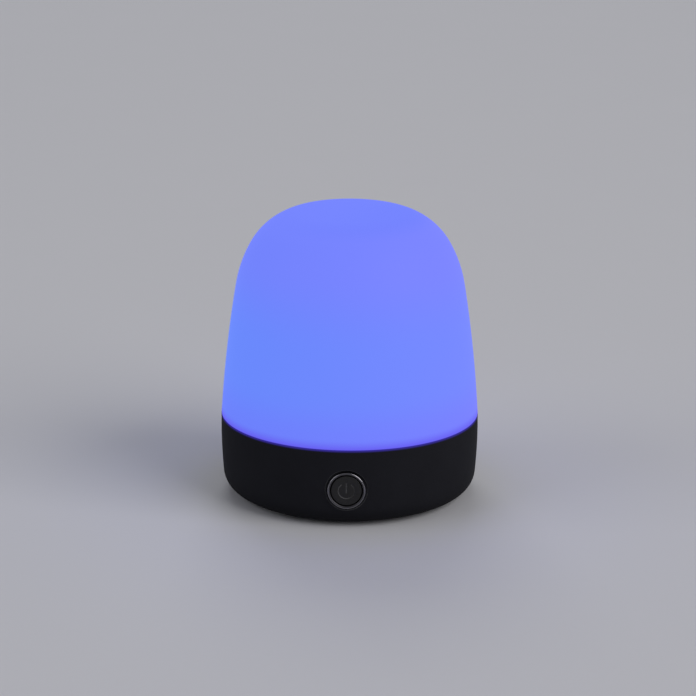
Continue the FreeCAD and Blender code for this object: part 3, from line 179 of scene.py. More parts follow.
class Bench:
    """A node tree being put together, for a finish or for a shape."""

    def __init__(self, tree: bpy.types.NodeTree) -> None:
        """Start on a tree."""
        self.tree = tree

    def node(
        self,
        kind: str,
        settings: Mapping[str, Any] | None = None,
        inputs: Mapping[str | int, Any] | None = None,
    ) -> bpy.types.Node:
        """Make one node.

        Args:
            kind: The node's type name.
            settings: Its properties, and "stops" for a colour ramp, set before its inputs.
            inputs: Values, sockets or wires for its inputs, by name or by number.

        Returns:
            The node.
        """
        made = self.tree.nodes.new(kind)
        for name, value in (settings or {}).items():
            if name == "stops":
                self.set_stops(made.color_ramp, value)
            else:
                setattr(made, name, value)
        for key, value in (inputs or {}).items():
            self.feed(self.socket(made.inputs, key), value)
        return made

    def value(self, *node_arguments: Any, output: str | int | None = None) -> Wire:
        """Make a node and return one of its outputs as a wire.

        Args:
            *node_arguments: What node() takes.
            output: The output's name or number, or None for the first that is in use.

        Returns:
            The output.
        """
        made = self.node(*node_arguments)
        if output is None:
            return Wire(self, next(s for s in made.outputs if s.enabled))
        return Wire(self, self.socket(made.outputs, output))

    @staticmethod
    def socket(sockets: bpy.types.bpy_prop_collection, key: str | int) -> bpy.types.NodeSocket:
        """Find one of a node's sockets that is in use.

        Args:
            sockets: The node's inputs or outputs.
            key: The socket's name or number.

        Returns:
            The socket.
        """
        if isinstance(key, int):
            return sockets[key]
        return next(s for s in sockets if s.name == key and s.enabled)

    @staticmethod
    def set_stops(ramp: bpy.types.ColorRamp, stops: Sequence[tuple[float, Colour]]) -> None:
        """Give a colour ramp its stops.

        Args:
            ramp: The ramp.
            stops: Each stop's position and colour, in order.
        """
        while len(ramp.elements) < len(stops):
            ramp.elements.new(1.0)
        for element, (position, colour) in zip(ramp.elements, stops):
            element.position = position
            element.color = (*colour, 1.0)

    def feed(self, socket: bpy.types.NodeSocket, value: Any) -> None:
        """Link a wire or a socket to an input, or set the input's own value.

        Args:
            socket: The input.
            value: A wire, a socket, or a plain value.
        """
        if isinstance(value, Wire):
            self.tree.links.new(value.socket, socket)
        elif isinstance(value, bpy.types.NodeSocket):
            self.tree.links.new(value, socket)
        elif socket.type == "RGBA" and len(value) == 3:
            socket.default_value = (*value, 1.0)
        else:
            socket.default_value = value

    def mix(self, first: Any, second: Any, share: Any) -> Wire:
        """Mix two colours; share is how much there is of the second."""
        settings = {"data_type": "RGBA", "clamp_factor": True}
        return self.value("ShaderNodeMix", settings, {"Factor": share, "A": first, "B": second})


# ---- finishes ---------------------------------------------------------------------------------


class Skin(Bench):
    """A shader tree with the coordinates and textures that the finishes share."""

    def place(self) -> Wire:
        """The point on the piece, in metres in the lamp's frame."""
        return self.value("ShaderNodeTexCoord", {}, {}, output="Object")

    def across(self) -> tuple[Wire, Wire, Wire]:
        """The point's x, y and z, each as a wire."""
        split = self.node("ShaderNodeSeparateXYZ", {}, {"Vector": self.place()})
        return tuple(Wire(self, s) for s in split.outputs)

    def noise(self, size: float, detail: float = 2.0, stretch: Sequence[float] = (1, 1, 1)) -> Wire:
        """Noise whose blotches are about as large as size.

        Args:
            size: Width of a blotch in metres.
            detail: How many finer layers are added.
            stretch: Scale of the pattern along each axis.

        Returns:
            The noise, from 0 to 1 about a middle of 0.5.
        """
        spot = self.value("ShaderNodeMapping", {}, {"Vector": self.place(), "Scale": tuple(stretch)})
        inputs = {"Vector": spot, "Scale": 1 / size, "Detail": detail, "Roughness": 0.55}
        return self.value("ShaderNodeTexNoise", {}, inputs, output=0)

    def cells(self, size: float) -> Wire:
        """Rounded cells of a given width, as the distance from each cell's middle."""
        inputs = {"Vector": self.place(), "Scale": 1 / size}
        return self.value("ShaderNodeTexVoronoi", {}, inputs, output="Distance")

    def bump(self, height: Wire, depth: float) -> Wire:
        """The surface normal roughened by a height that is depth metres deep."""
        return self.value("ShaderNodeBump", {}, {"Height": height, "Distance": depth})

    def from_button(self, x: Wire, z: Wire, height: float) -> Wire:
        """How far a point is from the button's axis, which runs front to back at a height."""
        up = z - height
        return (x * x + up * up).apply("SQRT")


@dataclass(frozen=True)
class Finish:
    """A surface finish, with the name of the material slot that it belongs to."""

    slot: str
    colour: Colour
    roughness: float = 0.5
    metallic: float = 0.0
    specular: float = 0.5
    spread: float = 0.10
    grain: float = 0.4 * MM
    grain_depth: float = 0.01 * MM
    variant: str = "plain"

    def material(self) -> bpy.types.Material:
        """Build the material, or find it if it is built already.

        Returns:
            The material.
        """
        name = f"{self.slot}_{self.variant}_finish"
        found = bpy.data.materials.get(name)
        if found:
            return found
        made = bpy.data.materials.new(name)
        made.use_nodes = True
        made.node_tree.nodes.clear()
        made.diffuse_color = (*self.colour, 1.0)
        skin = Skin(made.node_tree)
        shader = skin.node("ShaderNodeBsdfPrincipled", {}, {
            "Base Color": self.colour,
            "Roughness": self.roughness,
            "Metallic": self.metallic,
            "Specular IOR Level": self.specular,
        })
        self.dress(skin, shader)
        skin.node("ShaderNodeOutputMaterial", {}, {"Surface": shader.outputs[0]})
        return made

    def dress(self, skin: Skin, shader: bpy.types.Node) -> None:
        """Give the shader its texture.

        Args:
            skin: The tree that the shader is in.
            shader: The shader to feed.
        """
        blotch = skin.noise(self.grain * 18, 3.0)
        fine = skin.noise(self.grain, 2.0)
        deep, pale = self.tone(1 - self.spread), self.tone(1 + self.spread)
        skin.feed(shader.inputs["Base Color"], skin.mix(deep, pale, blotch * 0.6 + fine * 0.4))
        rough = blotch * (self.roughness * 0.16) + fine * (self.roughness * 0.1)
        skin.feed(shader.inputs["Roughness"], rough + self.roughness * 0.87)
        skin.feed(shader.inputs["Normal"], skin.bump(fine, self.grain_depth))

    def tone(self, factor: float) -> Colour:
        """The finish's colour, made paler or deeper by a factor."""
        return tuple(min(1.0, c * factor) for c in self.colour)

    def put_on(self, *pieces: bpy.types.Object) -> None:
        """Give pieces this finish in place of any they have.

        Args:
            *pieces: The pieces.
        """
        for piece in pieces:
            piece.data.materials.clear()
            piece.data.materials.append(self.material())


@dataclass(frozen=True)
class SparkTexture(Finish):
    """Moulded plastic with a fine spark-eroded texture, and painted shade that darkens its foot."""

    # How much painted shade darkens the foot, and the height that it reaches.
    foot: float = 0.0
    painted_shade_height: float = 12 * MM

    def dress(self, skin: Skin, shader: bpy.types.Node) -> None:
        """Give the shader its pitted grain, mottle and the painted shade on its foot.

        Args:
            skin: The tree that the shader is in.
            shader: The shader to feed.
        """
        z = skin.across()[2]
        pits = skin.cells(self.grain).ramp(0.1, 0.7)
        fine = skin.noise(self.grain * 0.6, 3.0)
        blotch = skin.noise(self.grain * 40, 3.0)
        height = pits * 0.6 + fine * 0.4
        deep, pale = self.tone(1 - self.spread), self.tone(1 + self.spread)
        colour = skin.mix(deep, pale, blotch * 0.7 + height * 0.3)
        # Painted shade: the colour darkens towards the bottom of the piece.
        low = 1 - z.ramp(0.0, self.painted_shade_height)
        colour = self.paint_highlight(skin, skin.mix(colour, self.tone(1 - self.foot), low))
        skin.feed(shader.inputs["Base Color"], colour)
        skin.feed(shader.inputs["Roughness"], height * 0.08 + blotch * 0.06 + (self.roughness - 0.07))
        skin.feed(shader.inputs["Normal"], skin.bump(height, self.grain_depth))

    def paint_highlight(self, skin: Skin, colour: Wire) -> Wire:
        """Add a painted highlight to the plastic's colour; on most pieces there is none."""
        return colour


@dataclass(frozen=True)
class ShellPlastic(SparkTexture):
    """The shell's plastic: a painted glow along its rim stands for the dome's light falling on it, and a
    painted highlight makes the lip round the button pale.
    """

    # Painted glow: the dome's colour, painted on the shell just below its rim.
    painted_seam_glow: Colour = srgb(50, 40, 146)
    rim: float = 34.4 * MM
    painted_seam_glow_fade: float = 1.2 * MM
    lip_height: float = 17.3 * MM
    lip_radius: float = 8.72 * MM
    lip_width: float = 0.34 * MM
    # Colour of the painted highlight on the lip.
    painted_light_value: Colour = (0.070, 0.070, 0.074)

    def dress(self, skin: Skin, shader: bpy.types.Node) -> None:
        """Give the shader the plastic's texture and a painted glow just below the rim, standing for the
        dome's light on it.

        Args:
            skin: The tree that the shader is in.
            shader: The shader to feed.
        """
        super().dress(skin, shader)
        # Painted light: the shell glows with the dome's colour just below its rim, though it is no lamp.
        near = skin.across()[2].ramp(self.rim - self.painted_seam_glow_fade, self.rim)
        skin.feed(shader.inputs["Emission Color"], skin.mix((0.0, 0.0, 0.0), self.painted_seam_glow, near * near))
        shader.inputs["Emission Strength"].default_value = 1.0

    def paint_highlight(self, skin: Skin, colour: Wire) -> Wire:
        """Paint a highlight on the front of the lip of the button's recess.

        Args:
            skin: The tree that the shader is in.
            colour: The plastic's colour.

        Returns:
            The colour, with a painted highlight paler on the lip.
        """
        x, y, z = skin.across()
        # Painted highlight: a paler band on the front half of the recess's lip, made patchy by noise.
        off = (skin.from_button(x, z, self.lip_height) - self.lip_radius).apply("ABSOLUTE")
        patch_noise = skin.noise(1.6 * MM, 2.0).ramp(0.3, 0.6)
        lip = (1 - off.ramp(0.0, self.lip_width)) * (y < 0.0) * (patch_noise * 0.4 + 0.6)
        return skin.mix(colour, self.painted_light_value, lip)


@dataclass(frozen=True)
class BrushedMetal(Finish):
    """Metal with fine streaks along one direction and a few deeper scratches."""

    stretch: tuple[float, float, float] = (1.0, 1.0, 12.0)

    def dress(self, skin: Skin, shader: bpy.types.Node) -> None:
        """Give the shader its streaks.

        Args:
            skin: The tree that the shader is in.
            shader: The shader to feed.
        """
        streak = skin.noise(self.grain, 3.0, self.stretch)
        cloud = skin.noise(self.grain * 30, 2.0)
        deep, pale = self.tone(1 - self.spread), self.tone(1 + self.spread)
        skin.feed(shader.inputs["Base Color"], skin.mix(deep, pale, streak * 0.5 + cloud * 0.5))
        skin.feed(shader.inputs["Roughness"], streak * 0.12 + cloud * 0.06 + (self.roughness - 0.09))
        skin.feed(shader.inputs["Normal"], skin.bump(streak, self.grain_depth))


@dataclass(frozen=True)
class PrintWithPaintedShade(Finish):
    """Printed line in a groove, with painted shade that darkens it towards one side."""

    # The colour that the painted shade darkens the print towards, and where that shade starts and ends
    # across the button.
    under: Colour = (0.016, 0.016, 0.016)
    painted_shade_start: float = -0.5 * MM
    painted_light_value: float = 3.2 * MM

    def dress(self, skin: Skin, shader: bpy.types.Node) -> None:
        """Give the shader its print, darkened across the button by painted shade with a patchy edge.

        Args:
            skin: The tree that the shader is in.
            shader: The shader to feed.
        """
        x, _, _ = skin.across()
        patch_noise = skin.noise(0.5 * MM, 2.0)
        # Painted shade: the print darkens towards +X, with a patchy edge.
        bare = (x + (patch_noise - 0.5) * MM).ramp(self.painted_shade_start, self.painted_light_value) * 0.75
        skin.feed(shader.inputs["Base Color"], skin.mix(self.colour, self.under, bare))
        skin.feed(shader.inputs["Roughness"], bare * 0.1 + self.roughness)
        skin.feed(shader.inputs["Normal"], skin.bump(patch_noise, self.grain_depth))


@dataclass(frozen=True)
class TurnedRing(Finish):
    """A turned metal ring: bright and finely grooved outside, with painted shade that makes its inner
    slope matte and darker.
    """

    centre: float = 17.3 * MM
    crest: float = 7.45 * MM
    slope: Point = (-0.35 * MM, 0.1 * MM)
    groove: float = 0.16 * MM
    # Painted shade: the darker colour of the inner slope.
    inner: Colour = (0.07, 0.068, 0.075)

    def dress(self, skin: Skin, shader: bpy.types.Node) -> None:
        """Give the shader its lathe grooves, the painted shade on its matte inner slope and faint handling
        marks.

        Args:
            skin: The tree that the shader is in.
            shader: The shader to feed.
        """
        x, _, z = skin.across()
        out = skin.from_button(x, z, self.centre)
        groove = (out / self.groove).apply("PINGPONG", 1.0)
        cloud = skin.noise(self.grain * 14, 2.0)
        outside = out.ramp(self.crest + self.slope[0], self.crest + self.slope[1])
        bright = skin.mix(self.colour, self.tone(1 + self.spread), cloud * 0.7 + groove * 0.3)
        # Painted shade: the inner slope takes the darker colour.
        skin.feed(shader.inputs["Base Color"], skin.mix(self.inner, bright, outside))
        rough = (1 - outside) * 0.28 + cloud * 0.08 + (self.roughness - 0.04)
        skin.feed(shader.inputs["Roughness"], rough)
        skin.feed(shader.inputs["Normal"], skin.bump(groove, self.grain_depth))


@dataclass(frozen=True)
class OpalGlow(Finish):
    """Lit opal plastic: an even glow, paler on the shoulder, deeper at the top, with painted shade that
    turns it violet at the rim.
    """

    seam: float = 34.4 * MM
    top: float = 124.6 * MM
    reach: float = 55 * MM
    body_left: Colour = srgb(103, 137, 253)
    body_right: Colour = srgb(119, 136, 253)
    crown_left: Colour = srgb(112, 131, 253)
    crown_right: Colour = srgb(126, 133, 254)
    low_left: Colour = srgb(106, 129, 253)
    low_right: Colour = srgb(121, 128, 254)
    summit: Colour = srgb(110, 127, 251)
    # Painted shade: the glow's colours at the rim and right at the seam.
    rim: Colour = srgb(102, 88, 240)
    lip: Colour = srgb(40, 26, 140)
    strength: float = 0.945
    crown_from: Point = (0.42, 0.8)
    summit_from: Point = (-9 * MM, -1 * MM)
    low_to: Point = (3 * MM, 22 * MM)
    painted_rim_shade_to: Point = (-0.8 * MM, 4.4 * MM)
    painted_seam_shade_to: Point = (0.12 * MM, 0.42 * MM)

    def dress(self, skin: Skin, shader: bpy.types.Node) -> None:
        """Give the shader its glow and the satin grain of the moulding.

        Args:
            skin: The tree that the shader is in.
            shader: The shader to feed.
        """
        x, _, z = skin.across()
        side = x.ramp(-self.reach, self.reach, smooth=False)
        above, below = z - self.seam, z - self.top
        middle = skin.mix(self.body_left, self.body_right, side)
        crown = skin.mix(self.crown_left, self.crown_right, side)
        low = skin.mix(self.low_left, self.low_right, side)
        glow = skin.mix(middle, crown, (above / (self.top - self.seam)).ramp(*self.crown_from))
        glow = skin.mix(low, glow, above.ramp(*self.low_to))
        glow = skin.mix(glow, self.summit, below.ramp(*self.summit_from))
        # Painted shade: the glow turns violet and then deep blue just above the seam, where the neck
        # blocks the light.
        glow = skin.mix(self.rim, glow, above.ramp(*self.painted_rim_shade_to))
        glow = skin.mix(self.lip, glow, above.ramp(*self.painted_seam_shade_to))
        skin.feed(shader.inputs["Emission Color"], glow)
        shader.inputs["Emission Strength"].default_value = self.strength
        grain = skin.noise(self.grain, 2.0)
        skin.feed(shader.inputs["Roughness"], grain * 0.1 + (self.roughness - 0.05))
        skin.feed(shader.inputs["Normal"], skin.bump(grain, self.grain_depth))


@dataclass(frozen=True)
class ClearResin(Finish):
    """Clear or tinted resin that lets light through."""

    through: float = 0.9

    def dress(self, skin: Skin, shader: bpy.types.Node) -> None:
        """Give the shader its clear body and its faint surface ripple.

        Args:
            skin: The tree that the shader is in.
            shader: The shader to feed.
        """
        shader.inputs["Transmission Weight"].default_value = self.through
        ripple = skin.noise(self.grain, 1.0)
        skin.feed(shader.inputs["Roughness"], ripple * 0.05 + self.roughness)
        skin.feed(shader.inputs["Normal"], skin.bump(ripple, self.grain_depth))


@dataclass(frozen=True)
class SolderMask(Finish):
    """A printed circuit board: lacquer over copper tracks, with bare pads between them."""

    track: Colour = (0.06, 0.26, 0.13)
    pad: Colour = (0.62, 0.50, 0.24)
    pitch: float = 2.4 * MM
    region: float = 7 * MM
    pad_pitch: float = 3.1 * MM
    relief: float = 0.035 * MM
    bar_ratio: float = 1.7
    slant: Point = (0.61, 0.37)
    track_share: float = 0.3
    pad_share: float = 0.12

    def dress(self, skin: Skin, shader: bpy.types.Node) -> None:
        """Give the shader its tracks, which stand a little proud, and its round pads.

        Args:
            skin: The tree that the shader is in.
            shader: The shader to feed.
        """
        x, y, z = skin.across()
        lane = (x + z * self.slant[0]) % self.pitch
        bar = (y + z * self.slant[1]) % (self.pitch * self.bar_ratio)
        width = self.pitch * self.track_share
        region = skin.noise(self.region, 0.0)
        along = (lane < width) * (region > 0.5)
        cross = (bar < width) * (region < 0.5)
        track = along.apply("MAXIMUM", cross)
        via = skin.cells(self.pad_pitch) < self.pad_share
        colour = skin.mix(self.colour, self.track, track)
        skin.feed(shader.inputs["Base Color"], skin.mix(colour, self.pad, via))
        skin.feed(shader.inputs["Metallic"], via * 0.9)
        skin.feed(shader.inputs["Roughness"], via * 0.1 + track * -0.05 + self.roughness)
        skin.feed(shader.inputs["Normal"], skin.bump(track + via * 0.5, self.relief))


@dataclass(frozen=True)
class Jackets(Finish):
    """Insulated wires in two colours, told apart by which half of a lane across the lamp they are in."""

    other: Colour = (0.02, 0.02, 0.022)
    lane: float = 3.2 * MM
    start: float = 0.0

    def dress(self, skin: Skin, shader: bpy.types.Node) -> None:
        """Give the wires in the lane's far half the other colour, and all a soft waxy mottle.

        Args:
            skin: The tree that the shader is in.
            shader: The shader to feed.
        """
        x, _, _ = skin.across()
        second = ((x - self.start) % self.lane) > self.lane / 2
        cloud = skin.noise(1.5 * MM, 2.0)
        first = skin.mix(self.colour, self.tone(0.75), cloud)
        skin.feed(shader.inputs["Base Color"], skin.mix(first, self.other, second))
        skin.feed(shader.inputs["Roughness"], cloud * 0.15 + self.roughness)
        skin.feed(shader.inputs["Normal"], skin.bump(cloud, self.grain_depth))


@dataclass(frozen=True)
class ShrinkSleeve(Finish):
    """The printed sleeve of a round cell: creased film, bare metal ends and a pale washer."""

    half_length: float = 32.6 * MM
    end_metal: Colour = (0.62, 0.61, 0.58)
    washer: Colour = (0.80, 0.80, 0.76)
    washer_width: float = 0.9 * MM
    end_margin: float = 0.2 * MM
    crease_width: float = 5 * MM
    crease_depth: float = 0.05 * MM

    def dress(self, skin: Skin, shader: bpy.types.Node) -> None:
        """Give the shader its film, its washer at the raised end and its metal ends.

        Args:
            skin: The tree that the shader is in.
            shader: The shader to feed.
        """
        x, _, _ = skin.across()
        crease = skin.noise(self.crease_width, 3.0, (6.0, 1.0, 1.0))
        film = skin.mix(self.colour, self.tone(0.8), crease)
        washer = x > (self.half_length - self.washer_width)
        raised = x > (self.half_length + self.end_margin)
        metal = raised.apply("MAXIMUM", x < (self.end_margin - self.half_length))
        dressed = skin.mix(skin.mix(film, self.washer, washer), self.end_metal, metal)
        skin.feed(shader.inputs["Base Color"], dressed)
        skin.feed(shader.inputs["Metallic"], metal)
        skin.feed(shader.inputs["Roughness"], crease * 0.12 + self.roughness)
        skin.feed(shader.inputs["Normal"], skin.bump(crease, self.crease_depth))


@dataclass(frozen=True)
class EpoxyBlock(Finish):
    """Moulded epoxy of chips, coils and capacitors."""

    def dress(self, skin: Skin, shader: bpy.types.Node) -> None:
        """Give the shader its sandy grain and paler speckles.

        Args:
            skin: The tree that the shader is in.
            shader: The shader to feed.
        """
        sand = skin.cells(self.grain).ramp(0.0, 0.6)
        cloud = skin.noise(3 * MM, 2.0)
        skin.feed(shader.inputs["Base Color"], skin.mix(self.colour, self.tone(1.5), sand * cloud))
        skin.feed(shader.inputs["Roughness"], sand * 0.1 + cloud * 0.1 + (self.roughness - 0.1))
        skin.feed(shader.inputs["Normal"], skin.bump(sand, self.grain_depth))


OPAL = OpalGlow("opal_diffuser", (0.016, 0.022, 0.10), 0.6, specular=0.10, grain=0.5 * MM,
                grain_depth=0.004 * MM)
SHELL = ShellPlastic("charcoal_plastic", (0.0140, 0.0142, 0.0176), 0.68, specular=0.05, spread=0.22,
                     grain=0.32 * MM, grain_depth=0.03 * MM, foot=0.35)
COVER = SparkTexture("cover_plastic", (0.016, 0.0155, 0.0165), 0.62, specular=0.3, spread=0.22,
                     grain=0.45 * MM, grain_depth=0.035 * MM)
CAP = SparkTexture("button_plastic", (0.0098, 0.0095, 0.0097), 0.42, specular=0.38, spread=0.10,
                   grain=0.22 * MM, grain_depth=0.006 * MM)
SYMBOL = PrintWithPaintedShade("button_plastic", (0.078, 0.076, 0.078), 0.42, specular=0.4,
                  grain_depth=0.003 * MM, variant="symbol")
BEZEL = TurnedRing("bezel_metal", (0.20, 0.195, 0.21), 0.2, metallic=1.0, spread=0.2,
                   grain=0.25 * MM, grain_depth=0.0006 * MM)
RUBBER = SparkTexture("soft_rubber", (0.014, 0.014, 0.015), 0.78, specular=0.2, spread=0.2,
                      grain=0.28 * MM, grain_depth=0.02 * MM)
WHITE = Finish("white_plastic", (0.78, 0.78, 0.76), 0.5, spread=0.03)
STEEL = BrushedMetal("steel", (0.46, 0.46, 0.47), 0.34, metallic=1.0, grain=0.3 * MM,
                     grain_depth=0.004 * MM)
SPREADER = BrushedMetal("spreader_aluminium", (0.74, 0.74, 0.75), 0.36, metallic=1.0,
                        stretch=(12.0, 1.0, 1.0))
SOCKET = BrushedMetal("socket_steel", (0.55, 0.55, 0.57), 0.28, metallic=1.0, grain=0.3 * MM,
                      grain_depth=0.003 * MM, stretch=(1.0, 10.0, 1.0))
SHIELD = BrushedMetal("shield_tin", (0.66, 0.66, 0.66), 0.3, metallic=1.0, grain=0.5 * MM,
                      stretch=(8.0, 1.0, 1.0))
NICKEL = BrushedMetal("nickel", (0.62, 0.59, 0.53), 0.3, metallic=1.0, grain=0.3 * MM)
GREEN_BOARD = SolderMask("green_board", (0.012, 0.10, 0.045), 0.32)
WHITE_BOARD = SolderMask("white_board", (0.80, 0.80, 0.78), 0.4, track=(0.70, 0.70, 0.68))
LED_CASE = Finish("led_case", (0.84, 0.83, 0.78), 0.4, spread=0.04, grain=0.2 * MM)
LED_WINDOW = ClearResin("led_window", (0.92, 0.72, 0.16), 0.12, through=0.35, grain=0.8 * MM)
BLACK = EpoxyBlock("black_plastic", (0.02, 0.02, 0.022), 0.45, grain=0.18 * MM)
COMPONENT = EpoxyBlock("component_black", (0.03, 0.03, 0.034), 0.4, grain=0.25 * MM)
CERAMIC = EpoxyBlock("component_black", (0.24, 0.17, 0.10), 0.35, grain=0.12 * MM,
                     grain_depth=0.004 * MM, variant="ceramic")
PLUNGER = Finish("plunger_plastic", (0.42, 0.05, 0.035), 0.35, grain=0.2 * MM)
NYLON = Finish("connector_nylon", (0.80, 0.77, 0.66), 0.42, spread=0.05, grain=0.3 * MM)
CLEAR = ClearResin("clear_plastic", (0.85, 0.90, 0.94), 0.08, grain=1.2 * MM)
GOLD = BrushedMetal("nickel", (0.83, 0.60, 0.26), 0.22, metallic=1.0, grain=0.2 * MM, variant="gold")
SLEEVE = ShrinkSleeve("cell_sleeve", (0.03, 0.12, 0.36), 0.28)
FLOOR = Finish("floor", (0.68, 0.68, 0.71), 0.7, specular=0.2, spread=0.015, grain=4 * MM,
               grain_depth=0.0)
LEADS = Jackets("lead_jacket", (0.40, 0.02, 0.015), 0.36)
CELL_LEADS = Jackets("lead_jacket", (0.02, 0.02, 0.022), 0.36, other=(0.40, 0.02, 0.015),
                     lane=200 * MM, start=-90 * MM, variant="cell")


# ---- shape making -----------------------------------------------------------------------------


def arc(centre: Point, radius: float, start: float, end: float, steps: int) -> list[Point]:
    """Points along an arc of a section.

    Args:
        centre: Distance from the axis and height of the arc's centre.
        radius: The arc's radius.
        start: Angle of the first point, from straight out, counter-clockwise, in radians.
        end: Angle of the last point.
        steps: How many pieces the arc is cut into.

    Returns:
        The points, both ends included.
    """
    angles = [start + (end - start) * i / steps for i in range(steps + 1)]
    return [(centre[0] + radius * math.cos(a), centre[1] + radius * math.sin(a)) for a in angles]


def new_piece(name: str, mesh: bpy.types.Mesh) -> bpy.types.Object:
    """Put a mesh in the scene.

    Args:
        name: The new object's name.
        mesh: Its mesh.

    Returns:
        The object.
    """
    piece = bpy.data.objects.new(name, mesh)
    bpy.context.scene.collection.objects.link(piece)
    return piece


def tidy_mesh(piece: bpy.types.Object, crease: float = 32.0, recalculate: bool = True) -> None:
    """Weld a piece's doubles, point its faces outwards and shade it smooth between creases.

    Args:
        piece: The piece, whose mesh is changed.
        crease: Edges that bend by more than this many degrees stay sharp.
        recalculate: Whether its normals are worked out again.
    """
    shape = bmesh.new()
    shape.from_mesh(piece.data)
    bmesh.ops.remove_doubles(shape, verts=shape.verts, dist=WELD)
    bmesh.ops.dissolve_degenerate(shape, edges=shape.edges, dist=WELD / 2)
    if recalculate:
        bmesh.ops.recalc_face_normals(shape, faces=shape.faces)
    for face in shape.faces:
        face.smooth = True
    shape.to_mesh(piece.data)
    shape.free()
    piece.data.set_sharp_from_angle(angle=math.radians(crease))


def settle(piece: bpy.types.Object, facing: Facing = Facing.UP, at: Sequence[float] = (0, 0, 0)) -> None:
    """Turn a piece's mesh to face a way and move it to its place, with its object left at the origin."""
    piece.data.transform(Matrix.Translation(Vector(at)) @ facing.value.to_4x4())
    piece.data.update()


def freeze(piece: bpy.types.Object) -> bpy.types.Object:
    """Swap a piece's modifiers for the plain mesh that they make.

    Args:
        piece: The piece.

    Returns:
        The same piece.
    """
    graph = bpy.context.evaluated_depsgraph_get()
    mesh = bpy.data.meshes.new_from_object(piece.evaluated_get(graph))
    piece.modifiers.clear()
    piece.data = mesh
    mesh.name = piece.name
    return piece


def hand_over(piece: bpy.types.Object, body: Body, finish: Finish, *nodes: str) -> bpy.types.Object:
    """Give a finished piece to the frame.

    Args:
        piece: The finished piece.
        body: The body that it rides on.
        finish: The piece's finish; not used.
        *nodes: The nodes of the frame that it stands for.

    Returns:
        The piece.
    """
    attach(piece, body.value)
    if nodes:
        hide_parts(*nodes)
    LOG.info("%-22s %6d faces on %s", piece.name, len(piece.data.polygons), body.value)
    return piece


def dress_nodes(finish: Finish, *names: str) -> None:
    """Give carried-over nodes of the frame a finish.

    Args:
        finish: The finish.
        *names: The nodes.
    """
    for name in names:
        finish.put_on(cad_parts[name])
        LOG.info("%-22s dressed in %s", name, finish.slot)


class Shaper(Bench):
    """A Geometry Nodes tree with named inputs, which ends in real geometry and a material."""

    def __init__(self, name: str, sizes: Mapping[str, Any]) -> None:
        """Start a tree.

        Args:
            name: The tree's name.
            sizes: Each input's name and the value that it starts at, or None for an object.
        """
        super().__init__(bpy.data.node_groups.new(name, "GeometryNodeTree"))
        face = self.tree.interface
        face.new_socket("Geometry", in_out="OUTPUT", socket_type="NodeSocketGeometry")
        face.new_socket("Geometry", in_out="INPUT", socket_type="NodeSocketGeometry")
        self.keys: dict[str, str] = {}
        kinds = {int: "NodeSocketInt", float: "NodeSocketFloat", type(None): "NodeSocketObject"}
        for size, start in sizes.items():
            socket = face.new_socket(size, in_out="INPUT", socket_type=kinds[type(start)])
            if start is not None:
                socket.default_value = start
            self.keys[size] = socket.identifier
        finish = face.new_socket("Finish", in_out="INPUT", socket_type="NodeSocketMaterial")
        self.keys["Finish"] = finish.identifier
        self.entry = self.node("NodeGroupInput")

    def size(self, name: str) -> Wire:
        """One of the tree's named inputs."""
        return Wire(self, self.socket(self.entry.outputs, name))

    def end(self, geometry: Wire) -> None:
        """Finish the tree: make its instances real and give them the material.

        Args:
            geometry: What the tree has made.
        """
        real = self.value("GeometryNodeRealizeInstances", {}, {"Geometry": geometry})
        inputs = {"Geometry": real, "Material": self.size("Finish")}
        dressed = self.value("GeometryNodeSetMaterial", {}, inputs)
        self.node("NodeGroupOutput", {}, {"Geometry": dressed})

    def run(self, piece: bpy.types.Object, finish: Finish, **sizes: Any) -> bpy.types.Object:
        """Shape a piece with this tree and keep the result as its plain mesh.

        Args:
            piece: The object that gives the tree its geometry.
            finish: The finish that the result takes.
            **sizes: Values for the named inputs, with _ for a space.

        Returns:
            The same object, with its new mesh.
        """
        modifier = piece.modifiers.new(self.tree.name, "NODES")
        modifier.node_group = self.tree
        for name, value in sizes.items():
            modifier[self.keys[name.replace("_", " ")]] = value
        modifier[self.keys["Finish"]] = finish.material()
        return freeze(piece)


